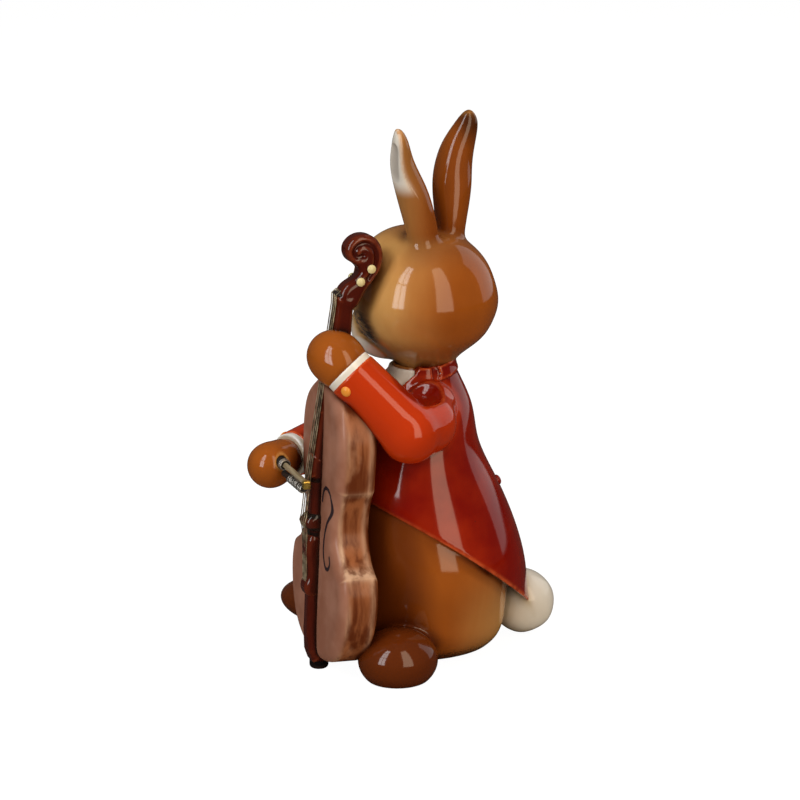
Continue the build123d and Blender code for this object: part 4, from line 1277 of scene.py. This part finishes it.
# Shade mask on the body: painted shade towards the front, behind the bass, and higher up under the coat's hem;
# the feet and paws are darkened all over.
shade = np.max([
    0.8 * step_up(spots[:, 1], 1.0, -9.0) * (1 - on_feet),
    FOOT_SHADE * on_feet,
    0.5 * step_up(spots[:, 2], 20.0, 36.0),
], axis=0)
paint_masks(body, golden=golden, shade=shade)
for paw in paws:
    paint_masks(paw, shade=np.full(len(paw.data.vertices), PAW_SHADE))
spots = mesh_points(coat)
arms = np.min([form(spots.T) for form in (left_forearm, left_upper_arm, right_sleeve)], axis=0)
add_mask(coat.data, "sleeve", step_up(arms, 2.5, 0.2) * step_up(ball(spots.T, *CROOK), 0.3, 2.0))
print("coat painted:", len(spots), "points")

# %% [markdown]
# ## Eyes
# The eyes are glossy black drops, one on each side of the face. A painted disc would look flat from
# the side, so each eye is a low dome that the dome tree sets on its spot, turned outwards.

# %% Eyes
eyes = grow("eye_domes", spot_mesh("eye_spots", *zip(*EYES)), stud_tree,
            {"Radius": 2.1 * MM, "Height": 0.9 * MM, "Material": black_glaze})
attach(eyes, "figurine")

# %% [markdown]
# ## Bass pieces
# The wood of the bass is painted pinkish on the front and streaky brown on the ribs, and its glaze is
# worn to tan along corners and edges.

# %% Bass glaze and pieces
def bass_brushwork(tree, colour):
    """Pinkish front with dark sound holes, streaky brown ribs, edges worn to tan."""
    streaks = mottle(tree, 420.0, 5.0, stretch=(1.0, 1.0, 0.12))
    blotches = mottle(tree, 130.0, 4.0, stretch=(1.0, 1.0, 0.6))
    rib = tint(tree, spread(tree, streaks, 0.35, 0.65), paint(104, 48, 20), paint(166, 100, 60))
    rib = tint(tree, spread(tree, blotches, 0.55, 0.75, 0.0, 0.7), rib, paint(194, 140, 104))
    clouds = mottle(tree, 110.0, 3.0)
    front = tint(tree, spread(tree, clouds, 0.3, 0.7), colour, paint(176, 124, 102))
    both = tint(tree, mask(tree, "rib"), front, rib)
    rubbed = reckon(tree, "MULTIPLY", mask(tree, "wear"), spread(tree, streaks, 0.35, 0.6, 0.25, 1.0))
    worn = tint(tree, rubbed, both, paint(226, 188, 156))
    return tint(tree, spread(tree, mask(tree, "hole"), 0.62, 0.38), worn, paint(52, 40, 44))


bass_glaze = glaze("bass_glaze", paint(156, 104, 82), paint(222, 178, 142), paint(84, 36, 16), 0.05,
                   gloss=0.22, painter=bass_brushwork, coat=0.45)
SOUND_HOLE = [(3.6, 44.4), (5.4, 48.0), (9.2, 47.3), (10.3, 43.3), (7.8, 39.8), (6.0, 35.7), (6.1, 30.3),
              (8.3, 28.1), (10.6, 29.9), (10.2, 31.5)]
bass = cast("bass_casting", bass_clay, (-22, -7, 1), (22, 6, 77), 0.36, bass_glaze, all_clay, bass_to_world)
settle(bass, "bass_glaze", "bass_body")
local = np.stack(bass_local(mesh_points(bass).T), 1)
add_mask(bass.data, "rib", step_up(local[:, 1], -4.6, -3.4))
corner_band = np.exp(-((local[:, 2] - 29.2) / 1.0) ** 2) + 0.5 * np.exp(-((local[:, 2] - 48.4) / 0.8) ** 2)
waist = step_up(np.abs(local[:, 2] - 36.0), 8.0, 3.0)
edge_band = np.exp(-((local[:, 1] + 3.7) / 0.6) ** 2) * (0.35 + 0.25 * np.sin(0.45 * local[:, 2]) + 0.5 * waist)
back_band = 0.5 * np.exp(-((local[:, 1] - 2.4) / 0.7) ** 2)
corner_band = corner_band * step_up(local[:, 1], -5.4, -3.4) * step_up(np.abs(local[:, 0]), 9.0, 13.0)
add_mask(bass.data, "wear", 0.85 * np.clip(corner_band + edge_band + back_band, 0, 1))
hole_line = smooth_line(SOUND_HOLE, share=8)
face_spots = np.stack([np.abs(local[:, 0]), local[:, 2]], 1)
hole = line_distance(face_spots, hole_line)
add_mask(bass.data, "hole", np.where(local[:, 1] < 0, hole, 9.0))

# %% Neck, board and strip
neck = cast("bass_neck_and_scroll", bass_neck, (2, -36, 62), (12, -5, 112), 0.25, neck_glaze, all_clay)
settle(neck, "neck_glaze", "bass_neck")
board = cast("fingerboard_clay", fingerboard, (3, -36, 47), (11, -18, 98), 0.3, neck_glaze, all_clay)
settle(board, "neck_glaze", "fingerboard")
strip = cast("front_strip_clay", front_strip, (2, -34, 0), (12, -20, 57), 0.3, neck_glaze, all_clay)
settle(strip, "neck_glaze", "bass_strip")
heights = mesh_points(strip)[:, 2]
add_mask(strip.data, "band", np.max([step_up(np.abs(heights - z), 0.75, 0.45) for z in (49.4, 35.6)], axis=0))
# %% Bridge, tailpiece, foot and nut
bridge = cast("bridge_clay", lambda p: bar(p, bridge_outline, 6.2, 1.6), (2, -36, 34), (12, -22, 43), 0.25,
              black_glaze, all_clay)
settle(bridge, "black_glaze", "bridge")
add_mask(bridge.data, "brown", step_up(np.abs(mesh_points(bridge)[:, 2] - 38.6), 1.4, 1.0))
tailpiece = cast("tailpiece_clay", lambda p: bar(p, tailpiece_outline, 5.4, 1.5), (2, -36, 17), (12, -22, 38),
                 0.25, neck_glaze, all_clay)
settle(tailpiece, "neck_glaze", "tailpiece")


def end_pin_clay(p):
    y = bass_front(0.0) + 1.8
    off = np.sqrt((p[0] - BASS_PLACE[0]) ** 2 + (p[1] - y) ** 2)
    return rounded(off - 2.4, np.maximum(p[2] - 4.4, -p[2]), 0.9, 0.9)


end_pin = cast("end_pin_clay", end_pin_clay, (3, -33, -0.6), (11, -23, 6), 0.25, black_glaze, all_clay)
settle(end_pin, "black_glaze", "end_pin")


def nut_clay(p):
    return ball(p, (BASS_PLACE[0], board_front(95.6) + 0.3, 95.6), (2.7, 0.9, 0.7))


nut = cast("nut_clay", nut_clay, (3, -25, 94), (11, -20, 97.5), 0.2, black_glaze, all_clay)
settle(nut, "black_glaze", "nut")

# %% [markdown]
# ## Strings
# Four thin wires run from the pegbox over the nut and the bridge to the saddle of the tailpiece. Four
# cylinders would stay straight, but a string bends at each of these places, so a round profile follows
# four paths. The metal is dulled by a little patina.

# %% Strings
string_paint = bpy.data.materials.new("string_wire")
string_paint.use_nodes = True
tree = string_paint.node_tree
wire = tree.nodes["Principled BSDF"]
patina = mottle(tree, 500.0, 3.0)
tree.links.new(tint(tree, spread(tree, patina, 0.35, 0.65), paint(120, 106, 84), paint(206, 190, 156)),
               wire.inputs["Base Color"])
tree.links.new(spread(tree, patina, 0.3, 0.7, 0.28, 0.5), wire.inputs["Roughness"])
wire.inputs["Metallic"].default_value = 0.6
STRING_RADIUS = 0.14
STRING_LIFT = 0.06
STRING_SPREADS = (3.4, 3.6, 4.0, 2.4)
string_lines = []
for index in range(4):
    share = index / 3 - 0.5
    x_nut, x_end, x_bridge, x_tail = (BASS_PLACE[0] + share * width for width in STRING_SPREADS)
    string_lines.append([
        (x_nut, board_front(96.6) + 0.5, 96.6),
        (x_nut, board_front(95.6) - 0.5 - STRING_LIFT, 95.6),
        (x_nut, board_front(93.0) - STRING_LIFT - 0.2, 93.0),
        (x_end, board_front(52.0) - STRING_LIFT - 0.2, 52.0),
        (x_bridge, bass_front(40.2) - 3.5 - STRING_LIFT, 40.2),
        (x_bridge, bass_front(38.6) - 3.9 - STRING_LIFT, 38.6),
        (x_bridge, bass_front(37.0) - 3.3 - STRING_LIFT, 37.0),
        (0.5 * (x_bridge + x_tail), bass_front(34.2) - 3.1 - STRING_LIFT, 34.2),
        (x_tail, bass_front(24.0) - 2.8 - STRING_LIFT, 24.0),
        (x_tail, bass_front(21.6) - 3.2 - STRING_LIFT, 21.6),
    ])
strings = grow("string_wires", path_curve("string_paths", string_lines), wire_tree,
               {"Radius": STRING_RADIUS * MM, "Sides": 10, "Material": string_paint})
settle(strings, "string_wire", "strings")

# %% [markdown]
# ## Pegs and buttons
# Peg heads and buttons are pressed drops of clay. One dome is set on every spot, turned the way the
# surface faces. The spots on the coat are found by walking outwards until the clay ends.

# %% Pegs and buttons
peg_places, peg_normals = [], []
for back, up in ((5.3, 3.1), (8.1, 6.1)):
    for side in (1, -1):
        peg_places.append((BASS_PLACE[0] + side * 3.2, NUT[0] + back, NUT[1] + up))
        peg_normals.append((side, 0, 0))
pegs = grow("tuning_peg_heads", spot_mesh("peg_spots", peg_places, peg_normals), stud_tree,
            {"Radius": 1.1 * MM, "Height": 0.62 * MM, "Material": peg_cream})
settle(pegs, "peg_cream", "tuning_pegs")

# %% Buttons
cuff_spots = []
for points, side in ((LEFT_ARM, (0.6, -0.8, -0.1)), (RIGHT_ARM, (-0.8, 0.2, 0.4))):
    along = wrist_end(points, 1.0) - np.array(points[-1])
    away = np.array(side) - along * along.dot(side)
    cuff_spots.append(on_surface(tailcoat, wrist_end(points, -2.3), away))
buttons = grow("cuff_button_domes", spot_mesh("cuff_spots", *zip(*cuff_spots)), stud_tree,
               {"Radius": 1.3 * MM, "Height": 0.75 * MM, "Material": button_glaze})
settle(buttons, "button_glaze", "cuff_buttons")
waist_spots = [on_surface(coat_cloth, (side * 4.5, 2.0, 43.5), (0, 1, 0)) for side in (1, -1)]
waist_buttons = grow("waist_button_domes", spot_mesh("waist_spots", *zip(*waist_spots)), stud_tree,
                     {"Radius": 1.35 * MM, "Height": 0.8 * MM, "Material": coat_glaze})
settle(waist_buttons, "coat_glaze", "waist_buttons")

# %% [markdown]
# ## The bow
# The bow is the one piece that moves: it is pushed into the right paw. Its grip is bound with black
# cord, its hair is a thick thread wound with silver, and a gold block closes the tip.

# %% Bow
BOW_UP = np.array([0.0, 0.0, 1.0])
BOW_UP = BOW_UP - BOW_ALONG * BOW_UP.dot(BOW_ALONG)
BOW_UP = BOW_UP / np.linalg.norm(BOW_UP)


def bow_spot(along, up, side=0.0):
    """A point in the bow's own frame."""
    return BOW_EXIT + along * BOW_ALONG + up * BOW_UP + side * np.cross(BOW_ALONG, BOW_UP)


def simple_paint(name, first, second, scale, rough, metallic=0.0, stretch=None):
    """A plain finish with some grain."""
    material = bpy.data.materials.new(name)
    material.use_nodes = True
    tree = material.node_tree
    shader = tree.nodes["Principled BSDF"]
    grain = mottle(tree, scale, 3.0, stretch)
    tree.links.new(tint(tree, spread(tree, grain, 0.3, 0.7), first, second), shader.inputs["Base Color"])
    tree.links.new(spread(tree, grain, 0.3, 0.7, rough, rough + 0.15), shader.inputs["Roughness"])
    shader.inputs["Metallic"].default_value = metallic
    bump = node(tree, "ShaderNodeBump", {"Height": grain, "Strength": 0.2, "Distance": 0.0001})
    tree.links.new(bump.outputs["Normal"], shader.inputs["Normal"])
    return material


bow_wood = simple_paint("bow_wood", paint(128, 112, 84), paint(176, 160, 128), 900.0, 0.35,
                        stretch=(0.1, 1.0, 1.0))
bow_cord = simple_paint("bow_winding", paint(18, 16, 15), paint(44, 38, 34), 1500.0, 0.5)
bow_thread = simple_paint("bow_thread", paint(20, 18, 18), paint(52, 46, 42), 1500.0, 0.45)
bow_silver = simple_paint("bow_silver", paint(150, 146, 140), paint(205, 200, 192), 1200.0, 0.25, 0.8)
bow_brass = simple_paint("bow_brass", paint(190, 152, 62), paint(230, 200, 110), 700.0, 0.2, 0.9)


def settle_bow(piece, slot, *nodes):
    """Ties a piece to the bow."""
    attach(piece, "bow")
    if nodes:
        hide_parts(*nodes)


def coil(start, run, radius, turns, share=14):
    """A helix round a straight run."""
    run = np.array(run, float)
    along = run / np.linalg.norm(run)
    side = np.cross(along, BOW_UP)
    side = side / np.linalg.norm(side)
    other = np.cross(along, side)
    t = np.linspace(0, 1, int(turns * share) + 1)
    angle = 2 * np.pi * turns * t
    return np.array(start) + t[:, None] * run + radius * (
        np.cos(angle)[:, None] * side + np.sin(angle)[:, None] * other)


def straight(start, end, share=8):
    """Points along a straight line."""
    t = np.linspace(0, 1, share)[:, None]
    return np.array(start) + t * (np.array(end) - np.array(start))


# %% Stick, grip and hair
stick_line = straight(bow_spot(-8.4, 0), bow_spot(17.9, 0))
stick = grow("bow_stick_rod", path_curve("stick", [stick_line]), wire_tree,
             {"Radius": 0.7 * MM, "Sides": 20, "Material": bow_wood})
settle_bow(stick, "bow_wood", "bow_stick")
grip_lines = [coil(bow_spot(-8.2, 0), 11.4 * BOW_ALONG, 1.02, 16)]
grip = grow("bow_grip_cord", path_curve("grip", grip_lines), wire_tree,
            {"Radius": 0.38 * MM, "Sides": 10, "Material": bow_cord})
settle_bow(grip, "bow_winding", "bow_grip")
hair_line = straight(bow_spot(2.4, -2.3), bow_spot(17.4, -1.9))
hair = grow("bow_hair_thread", path_curve("hair", [hair_line]), wire_tree,
            {"Radius": 0.8 * MM, "Sides": 20, "Material": bow_thread})
settle_bow(hair, "bow_thread", "bow_hair")
silver_lines = [
    coil(bow_spot(7.0, -2.2), 10.0 * BOW_ALONG, 1.0, 9),
    coil(bow_spot(8.0, -2.2), 9.0 * BOW_ALONG, 1.05, 5),
    coil(bow_spot(1.6, 0), 1.8 * BOW_ALONG, 1.3, 3),
]
silver = grow("bow_silver_thread", path_curve("silver", silver_lines), wire_tree,
              {"Radius": 0.2 * MM, "Sides": 8, "Material": bow_silver})
settle_bow(silver, "bow_thread")

# %% Bow tip
BOW_SIDE = np.cross(BOW_ALONG, BOW_UP)
TIP_CENTRE = bow_spot(18.6, -0.5)


def tip_block(p):
    """The square block that closes the tip, along the bow's own directions."""
    d = [p[i] - TIP_CENTRE[i] for i in range(3)]
    along, up, side = (sum(d[i] * axis[i] for i in range(3)) for axis in (BOW_ALONG, BOW_UP, BOW_SIDE))
    return rounded(np.maximum(np.abs(along) - 0.7, np.abs(side) - 0.9), np.abs(up) - 1.1, 0.4, 0.4)


tip = cast("bow_tip_block", tip_block, TIP_CENTRE - 3.5, TIP_CENTRE + 3.5, 0.18, bow_brass)
settle_bow(tip, "bow_brass", "bow_tip")
